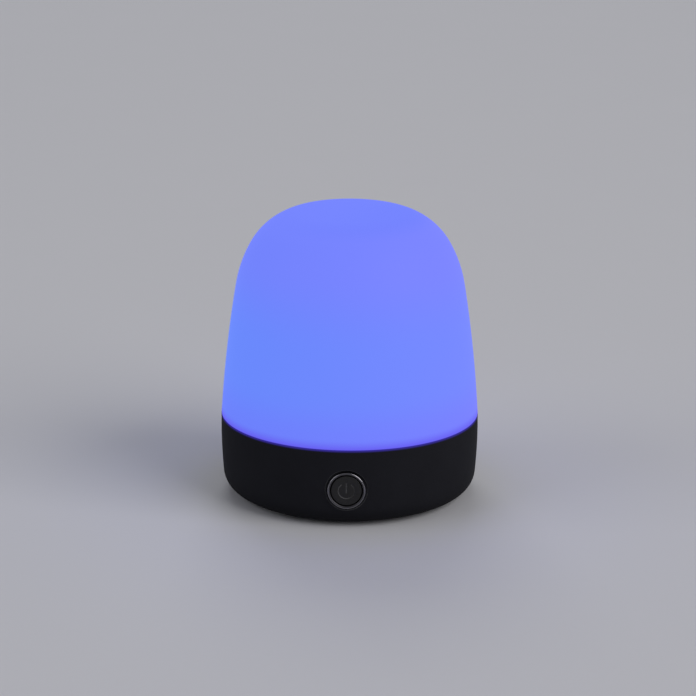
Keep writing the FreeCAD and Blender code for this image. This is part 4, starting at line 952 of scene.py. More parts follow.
class Lathe(Shaper):
    """Turns a section into a round piece, and cuts a screw thread where the section asks for one.

    The section is a line of points: x is the distance from the axis, z is the height and y is how
    deep a thread cuts there.
    """

    def __init__(self) -> None:
        """Build the tree: a grid whose rows are the section's points, bent round the axis."""
        super().__init__("turned_section", {"Steps": 96, "Pitch": 0.5 * MM})
        section = self.size("Geometry")
        columns = self.size("Steps") + 1
        rows = self.value("GeometryNodeAttributeDomainSize", {}, {"Geometry": section})
        grid = self.value("GeometryNodeMeshGrid", {}, {"Vertices X": rows, "Vertices Y": columns})
        index = self.value("GeometryNodeInputIndex")
        row = ((index + 0.5) / columns).apply("FLOOR")
        point = self.value("GeometryNodeSampleIndex", {"data_type": "FLOAT_VECTOR"}, {
            "Geometry": section, "Value": self.value("GeometryNodeInputPosition"), "Index": row,
        })
        split = self.node("ShaderNodeSeparateXYZ", {}, {"Vector": point})
        out, depth, height = (Wire(self, socket) for socket in split.outputs)
        share = (index - row * columns) / self.size("Steps")
        wave = (height / self.size("Pitch") - share).apply("PINGPONG", 0.5) * 2
        out = out - depth * wave
        angle = share * FULL_TURN
        turned = self.value("ShaderNodeCombineXYZ", {}, {
            "X": out * angle.apply("COSINE"), "Y": out * angle.apply("SINE"), "Z": height,
        })
        bent = self.value("GeometryNodeSetPosition", {}, {"Geometry": grid, "Position": turned})
        welded = self.value("GeometryNodeMergeByDistance", {}, {"Geometry": bent, "Distance": WELD})
        self.end(welded)

    def turn(
        self,
        name: str,
        section: Sequence[Sequence[float]],
        finish: Finish,
        steps: int = 96,
        closed: bool = False,
        pitch: float = 0.5 * MM,
    ) -> bpy.types.Object:
        """Turn one section.

        Args:
            name: The piece's name.
            section: Points as (distance from the axis, height) or, where a thread is cut,
                (distance, height, depth of the thread), in order.
            finish: The piece's finish.
            steps: How many facets go round.
            closed: Whether the section is a loop, as a ring's is.
            pitch: Rise of the thread in one turn.

        Returns:
            The turned piece, about the Z axis.
        """
        points = [*section, section[0]] if closed else list(section)
        mesh = bpy.data.meshes.new(name)
        mesh.from_pydata([(p[0], p[2] if len(p) > 2 else 0.0, p[1]) for p in points], [], [])
        piece = self.run(new_piece(name, mesh), finish, Steps=steps, Pitch=pitch)
        tidy_mesh(piece)
        return piece


class Planter(Shaper):
    """Sets a copy of a pattern piece on every point, turned to look along the point's facing."""

    def __init__(self) -> None:
        """Build the tree."""
        super().__init__("planted_pattern", {"Pattern": None})
        pattern = self.value("GeometryNodeObjectInfo", {}, {"Object": self.size("Pattern")},
                             output="Geometry")
        facing = self.value("GeometryNodeInputNamedAttribute", {"data_type": "FLOAT_VECTOR"},
                            {"Name": "facing"}, output="Attribute")
        turn = self.value("FunctionNodeAlignRotationToVector", {"axis": "Z"}, {"Vector": facing})
        self.end(self.value("GeometryNodeInstanceOnPoints", {}, {
            "Points": self.size("Geometry"), "Instance": pattern, "Rotation": turn,
        }))

    def plant(self, name: str, pattern: bpy.types.Object, finish: Finish,
              spots: Sequence[tuple[Vector, Vector]]) -> bpy.types.Object:
        """Set copies of a pattern at some spots, and throw the pattern away.

        Args:
            name: Name of the planted piece.
            pattern: The piece to copy, drawn about its own Z axis.
            finish: The finish of the copies.
            spots: Each copy's place and the direction that it faces.

        Returns:
            The planted piece.
        """
        mesh = bpy.data.meshes.new(name)
        mesh.from_pydata([place for place, _ in spots], [], [])
        facing = mesh.attributes.new("facing", "FLOAT_VECTOR", "POINT")
        facing.data.foreach_set("vector", [value for _, way in spots for value in way])
        piece = self.run(new_piece(name, mesh), finish, Pattern=pattern)
        bpy.data.objects.remove(pattern)
        tidy_mesh(piece)
        return piece


def loft(name: str, solids: Sequence[Sequence[Sequence[Vector]]]) -> bpy.types.Object:
    """Join rings of corners into closed solids, with a flat face over each end.

    Args:
        name: The piece's name.
        solids: The rings of each solid, in order; all its rings have as many corners.

    Returns:
        The piece.
    """
    shape = bmesh.new()
    for rings in solids:
        loops = [[shape.verts.new(corner) for corner in ring] for ring in rings]
        for here, there in zip(loops, loops[1:]):
            for i in range(len(here)):
                j = (i + 1) % len(here)
                shape.faces.new((here[i], here[j], there[j], there[i]))
        shape.faces.new(loops[0])
        shape.faces.new(loops[-1][::-1])
    bmesh.ops.recalc_face_normals(shape, faces=shape.faces)
    mesh = bpy.data.meshes.new(name)
    shape.to_mesh(mesh)
    shape.free()
    return new_piece(name, mesh)


def prism(name: str, outline: Sequence[Point], width: float, along: str = "Y",
          at: Sequence[float] = (0, 0, 0)) -> bpy.types.Object:
    """Give a flat outline a width.

    Args:
        name: The piece's name.
        outline: The corners as (across, up), in order.
        width: The width.
        along: The axis that the width runs along, X or Y.
        at: Where the middle of the outline's origin goes.

    Returns:
        The prism.
    """
    sides = [[Vector(at) + Vector((half, a, z) if along == "X" else (a, half, z)) for a, z in outline]
             for half in (-width / 2, width / 2)]
    return loft(name, [sides])


def carve(piece: bpy.types.Object, cutter: bpy.types.Object) -> None:
    """Cut one piece's shape out of another.

    Args:
        piece: The piece that is cut.
        cutter: The shape to take out, which is thrown away afterwards.
    """
    modifier = piece.modifiers.new("carve", "BOOLEAN")
    modifier.operation = "DIFFERENCE"
    modifier.solver = "EXACT"
    modifier.material_mode = "TRANSFER"
    modifier.object = cutter
    freeze(piece)
    bpy.data.objects.remove(cutter)


def soften(piece: bpy.types.Object, width: float, angle: float = 35.0) -> None:
    """Bevel a piece's sharp edges.

    Args:
        piece: The piece.
        width: Width of the bevel.
        angle: Edges that bend by more than this many degrees are bevelled.
    """
    modifier = piece.modifiers.new("soften", "BEVEL")
    modifier.width = width
    modifier.segments = 2
    modifier.limit_method = "ANGLE"
    modifier.angle_limit = math.radians(angle)
    modifier.harden_normals = False
    freeze(piece)


# ---- light dome -------------------------------------------------------------------------------


@dataclass
class LightDome:
    """The opal dome: four tangent arcs outside, the same inset by the wall, and a plug-in neck."""

    lathe: Lathe
    crown_radius: float = 108.8 * MM
    shoulder_radius: float = 29.3 * MM
    upper_side_radius: float = 53.2 * MM
    side_radius: float = 543.0 * MM
    crown_edge: float = 122.183 * MM
    shoulder_edge: float = 107.962 * MM
    upper_side_edge: float = 90.637 * MM
    wall: float = 2.0 * MM
    edge_round: float = 0.3 * MM
    neck_radius: float = 52.35 * MM
    neck_bore: float = 50.3 * MM
    neck_step: float = 1.0 * MM
    neck_ramp: float = 2.2 * MM
    lug_radius: float = 53.2 * MM
    lug_height: float = 1.4 * MM
    lug_level: float = 30.2 * MM
    lug_angle: float = math.radians(12.0)
    lug_count: int = 4
    lug_steps: int = 8
    lug_root: float = 0.4 * MM
    lug_edge: float = 0.08 * MM
    steps: int = 192
    arc_steps: tuple[int, ...] = (14, 22, 14, 22)
    top: float = field(init=False)
    seam: float = field(init=False)
    neck_end: float = field(init=False)

    def __post_init__(self) -> None:
        """Read the dome's levels from the frame."""
        low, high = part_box("diffuser_dome")
        self.top = high.z
        self.neck_end = low.z
        self.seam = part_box("base_shell")[1].z

    def outline(self, inset: float, foot: float) -> list[Point]:
        """Follow the dome from its top down to a height.

        Args:
            inset: How far inside the outer surface the line runs.
            foot: The height where it ends.

        Returns:
            Points from the axis outwards and down.
        """
        radii = (self.crown_radius, self.shoulder_radius, self.upper_side_radius, self.side_radius)
        ends = (self.crown_edge, self.shoulder_edge, self.upper_side_edge, self.seam)
        centre = Vector((0.0, self.top - self.crown_radius))
        start = 0.0
        points: list[Point] = []
        final = len(radii) - 1
        for i, (radius, end_height) in enumerate(zip(radii, ends)):
            lean = math.acos((end_height - centre.y) / radius)
            last = math.acos((foot - centre.y) / (radius - inset)) if i == final else lean
            right = math.pi / 2
            run = arc(centre, radius - inset, right - start, right - last, self.arc_steps[i])
            points += run if i == 0 else run[1:]
            if i < final:
                step = radius - radii[i + 1]
                centre = centre + Vector((math.sin(lean), math.cos(lean))) * step
            start = lean
        points[0] = (0.0, points[0][1])
        return points

    def section(self) -> list[Point]:
        """Draw the whole wall, from the top outside round the neck to the top inside.

        Returns:
            The section's points, in order.
        """
        outside = self.outline(0.0, self.seam)
        foot = outside.pop()[0]
        r = self.edge_round
        edge = arc((foot - r, self.seam + r), r, 0.0, -math.pi / 2, 5)
        neck = [
            (self.neck_radius, self.seam),
            (self.neck_radius, self.neck_end),
            (self.neck_bore, self.neck_end),
            (self.neck_bore, self.seam + self.neck_step),
        ]
        inside = self.outline(self.wall, self.seam + self.neck_step + self.neck_ramp)
        return [*outside, *edge, *neck, *reversed(inside)]

    def lugs(self) -> bpy.types.Object:
        """Make the snap lugs round the neck: a ramped tooth, swept through a short angle and repeated.

        Returns:
            The lugs, as one piece.
        """
        low = self.lug_level - self.lug_height / 2
        high = self.lug_level + self.lug_height / 2
        root = self.neck_radius - self.lug_root
        tooth = [(root, low), (self.neck_radius, low), (self.lug_radius, self.lug_level),
                 (self.lug_radius, high), (root, high)]
        lugs = []
        for number in range(self.lug_count):
            middle = FULL_TURN * number / self.lug_count
            turns = [middle + self.lug_angle * (step / self.lug_steps - 0.5)
                     for step in range(self.lug_steps + 1)]
            lugs.append([[Vector((r * math.cos(turn), r * math.sin(turn), h)) for r, h in tooth]
                         for turn in turns])
        piece = loft("dome_snap_lugs", lugs)
        tidy_mesh(piece)
        soften(piece, self.lug_edge)
        OPAL.put_on(piece)
        return piece

    def build(self) -> None:
        """Make the dome and its lugs."""
        dome = self.lathe.turn("light_dome", self.section(), OPAL, self.steps)
        hand_over(dome, Body.LAMP, OPAL, "diffuser_dome")
        hand_over(self.lugs(), Body.LAMP, OPAL)
        dress_nodes(RUBBER, "dome_gasket")


# ---- base -------------------------------------------------------------------------------------


@dataclass
class Base:
    """The dark shell with its cover, the strap over the cell and the rubber feet."""

    lathe: Lathe
    planter: Planter
    foot_ring: float = 34.5 * MM
    foot_count: int = 4
    groove_depth: float = 0.3 * MM
    ridge_count: int = 4
    ridge_pitch: float = 1.05 * MM
    ridge_foot: float = 0.36 * MM
    ridge_top: float = 0.2 * MM
    rim_foot: float = 0.75 * MM
    rim_top: float = 0.6 * MM
    sole_round: float = 0.35 * MM
    top_edge: float = 0.1 * MM

    def feet(self) -> bpy.types.Object:
        """Make rubber pads with ringed grip grooves on their soles, repeated round the cover.

        Returns:
            The pads, as one piece.
        """
        low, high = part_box("foot_pads")
        radius = high.x - self.foot_ring
        thick = high.z - low.z
        foot, crest, depth = self.ridge_foot, self.ridge_top, self.groove_depth
        sole: list[Point] = [(0.0, depth)]
        for ring in range(1, self.ridge_count + 1):
            middle = ring * self.ridge_pitch
            sole += [(middle - foot, depth), (middle - crest, 0.0), (middle + crest, 0.0),
                     (middle + foot, depth)]
        e, r = self.top_edge, self.sole_round
        rim = [(radius - self.rim_foot, depth), (radius - self.rim_top, 0.0),
               *arc((radius - r, r), r, -math.pi / 2, 0.0, 5)]
        body = [*rim, (radius, thick - e), (radius - e, thick), (0.0, thick)]
        pad = self.lathe.turn("foot_pad_pattern", [*sole, *body], RUBBER, 48)
        turns = [FULL_TURN * number / self.foot_count for number in range(self.foot_count)]
        places = [Vector((math.cos(turn), math.sin(turn), 0)) * self.foot_ring for turn in turns]
        return self.planter.plant("rubber_feet", pad, RUBBER, [(p, Vector((0, 0, 1))) for p in places])

    def build(self) -> None:
        """Dress the shell and the cover, and make the feet."""
        dress_nodes(SHELL, "base_shell")
        dress_nodes(COVER, "bottom_cover", "battery_strap")
        hand_over(self.feet(), Body.LAMP, RUBBER, "foot_pads")


# ---- screws -----------------------------------------------------------------------------------


def solids_of(node: bpy.types.Object) -> list[list[Vector]]:
    """Split a node's mesh into its separate solids.

    Args:
        node: A carried-over node; its mesh isn't changed.

    Returns:
        The corners of each solid.
    """
    shape = bmesh.new()
    shape.from_mesh(node.data)
    bmesh.ops.remove_doubles(shape, verts=shape.verts, dist=WELD)
    seen: set[bmesh.types.BMVert] = set()
    solids: list[list[Vector]] = []
    for first in shape.verts:
        if first in seen:
            continue
        seen.add(first)
        reached = [first]
        for corner in reached:
            for edge in corner.link_edges:
                other = edge.other_vert(corner)
                if other not in seen:
                    seen.add(other)
                    reached.append(other)
        solids.append([corner.co.copy() for corner in reached])
    shape.free()
    return solids


class TwinRows(Shaper):
    """Repeats a pattern in a row, and turns the row half round the origin to make its twin."""

    def __init__(self) -> None:
        """Build the tree."""
        super().__init__("twin_rows", {
            "Count": 8, "Step X": 0.0, "Step Y": 0.0, "Turn Y": 0.0, "Turn Z": 0.0,
        })
        step = self.value("ShaderNodeCombineXYZ", {}, {"X": self.size("Step X"), "Y": self.size("Step Y")})
        line = self.value("GeometryNodeMeshLine", {"mode": "OFFSET"},
                          {"Count": self.size("Count"), "Offset": step})
        row = self.value("GeometryNodeInstanceOnPoints", {},
                         {"Points": line, "Instance": self.size("Geometry")})
        turn = self.value("ShaderNodeCombineXYZ", {}, {"Y": self.size("Turn Y"), "Z": self.size("Turn Z")})
        twin = self.value("GeometryNodeTransform", {}, {"Geometry": row, "Rotation": turn})
        both = self.node("GeometryNodeJoinGeometry")
        for half in (row, twin):
            self.feed(both.inputs[0], half)
        self.end(Wire(self, both.outputs[0]))

    def lay(self, pattern: bpy.types.Object, finish: Finish, at: Sequence[float],
            **sizes: Any) -> bpy.types.Object:
        """Repeat a pattern and move the rows to their place.

        Args:
            pattern: The first item of the first row, drawn about the rows' middle.
            finish: The finish of the rows.
            at: Where the rows' middle goes.
            **sizes: Values for the tree's inputs.

        Returns:
            The rows, as the pattern's object.
        """
        piece = self.run(pattern, finish, **sizes)
        tidy_mesh(piece)
        settle(piece, at=at)
        return piece


@dataclass
class ScrewSet:
    """Pan-head screws with a cross recess and a cut thread, one for each solid of a node."""

    lathe: Lathe
    planter: Planter
    node: str
    head_radius: float = 2.1 * MM
    head_height: float = 1.1 * MM
    shank_radius: float = 1.1 * MM
    pitch: float = 0.5 * MM
    rows_per_turn: int = 6
    steps: int = 26
    head_edge: float = 0.03 * MM
    thread_share: float = 0.26
    tip_share: float = 0.7
    recess_over: float = 0.1 * MM
    recess_floor: float = 0.3 * MM
    recess_mouth: Point = (0.60, 0.13)
    recess_tip: Point = (0.26, 0.09)
    head_margin: float = 1.2
    head_round: float = 0.6
    run_out: float = 0.1
    point_share: float = 0.45
    length: float = field(init=False)
    spots: list[tuple[Vector, Vector]] = field(init=False)

    def __post_init__(self) -> None:
        """Find each screw's seat, the way that its head faces and the shank's length."""
        self.spots = []
        for corners in solids_of(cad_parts[self.node]):
            low = Vector(min(c[i] for c in corners) for i in range(3))
            high = Vector(max(c[i] for c in corners) for i in range(3))
            size = high - low
            axis = max(range(3), key=lambda i: size[i])
            middle = (low + high) / 2
            reach = self.shank_radius * self.head_margin
            wide = [c[axis] for c in corners if (c - middle)[axis - 1] > reach]
            way = Vector((0.0, 0.0, 0.0))
            way[axis] = 1.0 if sum(wide) / len(wide) > middle[axis] else -1.0
            self.length = size[axis] - self.head_height
            self.spots.append((middle + way * (size[axis] / 2 - self.head_height), way))

    def section(self) -> list[tuple[float, ...]]:
        """Draw half of the screw's outline, from the top of its head down to its tip.

        Returns:
            Points as (distance from the axis, height), and on the shank the thread's depth too.
        """
        q = self.head_round * self.head_height
        head = [(0.0, self.head_height),
                *arc((self.head_radius - q, self.head_height - q), q, math.pi / 2, 0.0, 6),
                (self.head_radius, self.head_edge), (self.head_radius - self.head_edge, 0.0)]
        depth = self.thread_share * self.pitch
        tip = self.tip_share * self.shank_radius
        thread_end = self.length - tip
        count = round(thread_end / self.pitch * self.rows_per_turn)
        shank: list[tuple[float, ...]] = [(self.shank_radius, 0.0)]
        for i in range(1, count + 1):
            down = thread_end * i / count
            run_in = min(1.0, down / self.pitch)
            shank.append((self.shank_radius, -down, depth * run_in))
        cone = [(self.shank_radius - depth, -thread_end - self.run_out * tip),
                (self.point_share * self.shank_radius, -self.length), (0.0, -self.length)]
        return [*head, *shank, *cone]

    def recess(self) -> bpy.types.Object:
        """Make the tapered cross that cuts the recess in the head.

        Returns:
            The cross.
        """
        turns = [Matrix.Rotation(-math.pi / 2 * i, 2) for i in range(4)]
        rings = []
        levels = (self.head_height + self.recess_over, self.recess_floor)
        for level, (arm, half) in zip(levels, (self.recess_mouth, self.recess_tip)):
            a, w = arm * self.head_radius, half * self.head_radius
            quarter = [Vector((w, w)), Vector((a, w)), Vector((a, -w))]
            rings.append([Vector((*(turn @ corner), level)) for turn in turns for corner in quarter])
        cutter = loft("recess_cutter", [rings])
        STEEL.put_on(cutter)
        return cutter

    def build(self) -> None:
        """Make one screw, cut its recess, and set a copy on each seat."""
        pattern = self.lathe.turn("screw_pattern", self.section(), STEEL, self.steps, pitch=self.pitch)
        carve(pattern, self.recess())
        piece = self.planter.plant(f"threaded_{self.node}", pattern, STEEL, self.spots)
        hand_over(piece, Body.LAMP, STEEL, self.node)


@dataclass
class Fastenings:
    """Every screw in the lamp."""

    lathe: Lathe
    planter: Planter

    def build(self) -> None:
        """Make the cover's long screws and the small ones inside."""
        ScrewSet(self.lathe, self.planter, "cover_screws", head_radius=2.75 * MM,
                 head_height=1.3 * MM, shank_radius=1.45 * MM, pitch=0.8 * MM).build()
        for node in ("led_board_screws", "button_board_screws", "main_board_screws", "strap_screws"):
            ScrewSet(self.lathe, self.planter, node).build()


# ---- power button -----------------------------------------------------------------------------


@dataclass
class PowerButton:
    """The bright bezel and the round cap with its sunk power symbol, seen from the front."""

    lathe: Lathe
    bezel_bore: float = 6.7 * MM
    bezel_shoulder: float = 54.83 * MM
    recess_floor: float = 53.8 * MM
    sleeve_radius: float = 7.2 * MM
    sleeve_end: float = 48.6 * MM
    cap_radius: float = 6.3 * MM
    cap_face: float = 55.0 * MM
    cap_edge: float = 0.24 * MM
    flange_radius: float = 7.6 * MM
    flange_front: float = 48.3 * MM
    flange_back: float = 47.1 * MM
    cavity_radius: float = 5.0 * MM
    cap_skin: float = 2.0 * MM
    stem_radius: float = 2.2 * MM
    symbol_radius: float = 3.3 * MM
    symbol_half_width: float = 0.27 * MM
    symbol_gap: float = math.radians(34.0)
    symbol_rise: float = 0.04 * MM
    symbol_edge: float = 0.045 * MM
    bar_top: float = 3.4 * MM
    bar_bottom: float = -1.1 * MM
    height: float = field(init=False)
    bezel_radius: float = field(init=False)
    stem_end: float = field(init=False)

    def __post_init__(self) -> None:
        """Read the button's height and reach from the frame."""
        low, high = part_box("bezel_ring")
        self.height = (low.z + high.z) / 2
        self.bezel_radius = (high.x - low.x) / 2
        self.stem_end = -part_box("power_button")[1].y

    def bezel(self) -> bpy.types.Object:
        """Make the ring: a rounded crest in front, a flange on the recess's floor and a sleeve behind.

        Returns:
            The ring.
        """
        half = (self.bezel_radius - self.bezel_bore) / 2
        crest = arc((self.bezel_bore + half, self.bezel_shoulder), half, 0.0, math.pi, 20)
        rest = [
            (self.bezel_bore, self.sleeve_end), (self.sleeve_radius, self.sleeve_end),
            (self.sleeve_radius, self.recess_floor), (self.bezel_radius, self.recess_floor),
        ]
        piece = self.lathe.turn("bezel", [*crest, *rest], BEZEL, 144, closed=True)
        settle(piece, Facing.FRONT, (0.0, 0.0, self.height))
        return piece

    def symbol_cutter(self) -> bpy.types.Object:
        """Make the shape that cuts the symbol's round-bottomed grooves: an open ring and a bar in its gap.

        Returns:
            The shape, about the Z axis like the cap.
        """
        curve = bpy.data.curves.new("symbol_line", "CURVE")
        curve.dimensions = "3D"
        curve.bevel_depth = self.symbol_half_width
        curve.bevel_resolution = 4
        curve.use_fill_caps = True
        top = math.pi / 2
        ring = arc((0.0, 0.0), self.symbol_radius, top + self.symbol_gap,
                   top + FULL_TURN - self.symbol_gap, 48)
        bar = [(0.0, self.bar_bottom), (0.0, self.bar_top)]
        for line in (ring, bar):
            spline = curve.splines.new("POLY")
            spline.points.add(len(line) - 1)
            for point, (x, y) in zip(spline.points, line):
                point.co = (x, y, self.cap_face + self.symbol_rise, 1.0)
        cutter = bpy.data.objects.new("symbol_line", curve)
        bpy.context.scene.collection.objects.link(cutter)
        graph = bpy.context.evaluated_depsgraph_get()
        mesh = bpy.data.meshes.new_from_object(cutter.evaluated_get(graph))
        bpy.data.objects.remove(cutter)
        made = new_piece("symbol_cutter", mesh)
        tidy_mesh(made)
        SYMBOL.put_on(made)
        return made

    def cap(self) -> bpy.types.Object:
        """Make the cap: a rounded rim, a hollow back with a stem, and the symbol sunk in its face.

        Returns:
            The cap.
        """
        e = self.cap_edge
        rim = arc((self.cap_radius - e, self.cap_face - e), e, math.pi / 2, 0.0, 6)
        inner_face = self.cap_face - self.cap_skin
        section = [
            (0.0, self.cap_face), *rim,
            (self.cap_radius, self.flange_front), (self.flange_radius, self.flange_front),
            (self.flange_radius, self.flange_back), (self.cavity_radius, self.flange_back),
            (self.cavity_radius, inner_face), (self.stem_radius, inner_face),
            (self.stem_radius, self.stem_end), (0.0, self.stem_end),
        ]
        piece = self.lathe.turn("button_cap", section, CAP, 128)
        carve(piece, self.symbol_cutter())
        tidy_mesh(piece)
        soften(piece, self.symbol_edge, angle=38.0)
        tidy_mesh(piece, recalculate=False)
        settle(piece, Facing.FRONT, (0.0, 0.0, self.height))
        return piece

    def build(self) -> None:
        """Make the bezel and the cap, and dress the switch behind them."""
        hand_over(self.bezel(), Body.LAMP, BEZEL, "bezel_ring")
        hand_over(self.cap(), Body.BUTTON, CAP, "power_button")
        dress_nodes(STEEL, "bezel_retainer")
        dress_nodes(GREEN_BOARD, "button_board")
        dress_nodes(BLACK, "switch_housing")
        dress_nodes(PLUNGER, "switch_plunger")


# ---- charging port ----------------------------------------------------------------------------


@dataclass
class ChargingPort:
    """The socket at the back, its contact tongue and the light pipe beside it."""

    rows: TwinRows
    contact_count: int = 12
    contact_pitch: float = 0.5 * MM
    contact_width: float = 0.26 * MM
    contact_length: float = 3.6 * MM
    contact_height: float = 0.05 * MM
    contact_setback: float = 0.45 * MM
    contact_slope: float = 0.3 * MM

    def contacts(self) -> bpy.types.Object:
        """Make two rows of gold contacts, one above and one below the tongue, with sloped noses.

        Returns:
            The contacts, as one piece.
        """
        low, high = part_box("usb_tongue")
        middle = (low + high) / 2
        top = (high.z - low.z) / 2
        nose = high.y - middle.y - self.contact_setback
        half = self.contact_height / 2
        outline = [(nose - self.contact_length, -half), (nose - self.contact_length, half),
                   (nose - self.contact_slope, half), (nose, -half)]
        first = -self.contact_pitch * (self.contact_count - 1) / 2
        blade = prism("gold_contacts", outline, self.contact_width, "X", (first, 0.0, top))
        return self.rows.lay(blade, GOLD, middle, Count=self.contact_count,
                             Step_X=self.contact_pitch, Turn_Y=math.pi)

    def build(self) -> None:
        """Dress the socket, its tongue and the light pipe, and make the contacts."""
        dress_nodes(SOCKET, "usb_socket")
        dress_nodes(BLACK, "usb_tongue")
        dress_nodes(CLEAR, "charge_light_pipe")
        hand_over(self.contacts(), Body.LAMP, GOLD)


# ---- inside -----------------------------------------------------------------------------------


@dataclass
class BoardDetail:
    """The small soldered parts that sit on the main board and on the radio module.

    The passives' spots are in millimetres, and everything else is in metres.
    """

    rows: TwinRows
    planter: Planter
    passive_length: float = 1.5 * MM
    passive_width: float = 0.8 * MM
    passive_height: float = 0.5 * MM
    cap_length: float = 0.3 * MM
    passive_gap: float = 0.04 * MM
    passive_edge: float = 0.03 * MM
    body_share: float = 0.96
    solder_levels: Point = (0.28, 0.7)
    fillet: Point = (0.28 * MM, 0.10 * MM)
    passive_spots: tuple[Point, ...] = (
        (6.4, 18.2), (6.4, 19.9), (6.4, 21.6), (16.4, 16.9), (16.4, 18.6), (16.4, 20.3),
        (16.4, 25.2), (16.4, 26.9), (16.4, 28.6), (5.6, 35.4), (5.6, 37.1), (5.6, 38.8),
        (8.2, 35.4), (8.2, 37.1), (8.2, 38.8), (-5.4, 36.0), (-5.4, 37.7), (-5.4, 39.4),
        (-8.0, 37.7), (-8.0, 39.4),
    )
    pin_pitch: float = 0.65 * MM
    pin_count: int = 6
    pin_width: float = 0.26 * MM
    pin_thickness: float = 0.15 * MM
    pin_root: float = -0.05 * MM
    pin_knee: float = 0.25 * MM
    pin_shoulder: float = 0.11 * MM
    pin_heel: float = 0.42 * MM
    pin_lean: float = 0.13 * MM
    pin_toe: float = 0.85 * MM
    pad_pitch: float = 1.27 * MM
    pad_count: int = 12
    pad_length: float = 0.9 * MM
    pad_width: float = 0.75 * MM
    pad_skin: float = 0.03 * MM

    def spots(self) -> list[tuple[Vector, Vector]]:
        """Where the passives sit on the board, all facing up."""
        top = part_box("main_board")[1].z
        return [(Vector((x * MM, y * MM, top)), Vector((0, 0, 1))) for x, y in self.passive_spots]

    def passives(self) -> None:
        """Two-terminal parts: a ceramic body, and tinned ends with solder that runs out to the pad."""
        half, width, height = self.passive_length / 2, self.passive_width, self.passive_height
        inner, low, top = half - self.cap_length, self.passive_gap, height * self.body_share
        outline = [(-inner, low), (inner, low), (inner, top), (-inner, top)]
        body = prism("passive_body", outline, width * self.body_share)
        soften(body, self.passive_edge)
        hand_over(self.planter.plant("passive_bodies", body, CERAMIC, self.spots()), Body.LAMP, CERAMIC)
        toe, knee = self.fillet
        bend, brim = (height * share for share in self.solder_levels)
        cap = prism("passive_cap", [(inner, 0.0), (half + toe, 0.0), (half + knee, bend),
                                    (half, brim), (half, height), (inner, height)], width)
        soften(cap, self.passive_edge)
        ends = self.rows.run(cap, SHIELD, Count=1, Turn_Z=math.pi)
        hand_over(self.planter.plant("passive_ends", ends, SHIELD, self.spots()), Body.LAMP, SHIELD)

    def driver_pins(self) -> None:
        """Gull-wing pins down both sides of the light driver."""
        chip = max(solids_of(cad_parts["board_chips"]), key=lambda c: max(v.z for v in c))
        low = Vector(min(v[i] for v in chip) for i in range(3))
        high = Vector(max(v[i] for v in chip) for i in range(3))
        side = (high.x - low.x) / 2
        waist, thick = (high.z - low.z) / 2, self.pin_thickness
        under = ((self.pin_root, waist), (self.pin_knee, waist), (self.pin_heel, 0.0),
                 (self.pin_toe, 0.0))
        over = ((self.pin_toe, thick), (self.pin_heel + self.pin_lean, thick),
                (self.pin_knee + self.pin_shoulder, waist + thick), (self.pin_root, waist + thick))
        outline = [(side + out, up) for out, up in (*under, *over)]
        first = -self.pin_pitch * (self.pin_count - 1) / 2
        pin = prism("driver_pins", outline, self.pin_width, at=(0.0, first, 0.0))
        middle = ((low.x + high.x) / 2, (low.y + high.y) / 2, low.z)
        piece = self.rows.lay(pin, SHIELD, middle, Count=self.pin_count, Step_Y=self.pin_pitch,
                              Turn_Z=math.pi)
        hand_over(piece, Body.LAMP, SHIELD)

    def module_pads(self) -> None:
        """Gold pads that wrap over both long edges of the radio module."""
        low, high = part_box("wireless_module")
        side, deep, skin = (high.x - low.x) / 2, high.z - low.z, self.pad_skin
        end = side - self.pad_length
        outline = [(end, -skin), (end, skin), (side + skin, skin), (side + skin, -deep),
                   (side - skin, -deep), (side - skin, -skin)]
        first = -self.pad_pitch * (self.pad_count - 1) / 2
        pad = prism("module_pads", outline, self.pad_width, at=(0.0, first, 0.0))
        middle = ((low.x + high.x) / 2, (low.y + high.y) / 2, high.z)
        piece = self.rows.lay(pad, GOLD, middle, Count=self.pad_count, Step_Y=self.pad_pitch,
                              Turn_Z=math.pi)
        hand_over(piece, Body.LAMP, GOLD)

    def build(self) -> None:
        """Make the passives, the driver's pins and the module's pads."""
        self.passives()
        self.driver_pins()
        self.module_pads()


@dataclass
class Electronics:
    """The light engine, the boards, the cell and their leads."""

    rows: TwinRows
    planter: Planter

    def build(self) -> None:
        """Dress the inner parts, and add the small soldered ones."""
        dress_nodes(WHITE, "light_tray")
        dress_nodes(SPREADER, "heat_spreader")
        dress_nodes(WHITE_BOARD, "led_board")
        dress_nodes(LED_CASE, "leds")
        dress_nodes(LED_WINDOW, "led_windows")
        dress_nodes(GREEN_BOARD, "main_board", "wireless_module")
        dress_nodes(NYLON, "board_connectors", "lead_plugs")
        dress_nodes(SHIELD, "module_shield")
        dress_nodes(COMPONENT, "power_parts")
        dress_nodes(BLACK, "board_chips")
        dress_nodes(SLEEVE, "battery_cell")
        dress_nodes(NICKEL, "battery_tabs")
        dress_nodes(LEADS, "led_leads", "button_leads")
        dress_nodes(CELL_LEADS, "battery_leads")
        BoardDetail(self.rows, self.planter).build()


# ---- studio -----------------------------------------------------------------------------------


@dataclass(frozen=True)
class SoftLight:
    """One soft square studio light, with its side in metres and its power in watts."""

    name: str
    spot: tuple[float, float, float]
    size: float
    power: float
    tint: Colour

    def hang(self, aim: Vector) -> None:
        """Hang the light.

        Args:
            aim: The point that it faces.
        """
        data = bpy.data.lights.new(self.name, "AREA")
        data.shape = "SQUARE"
        data.size = self.size
        data.energy = self.power
        data.color = self.tint
        light = bpy.data.objects.new(self.name, data)
        bpy.context.scene.collection.objects.link(light)
        light.location = self.spot
        light.rotation_euler = (aim - Vector(self.spot)).to_track_quat("-Z", "Y").to_euler()


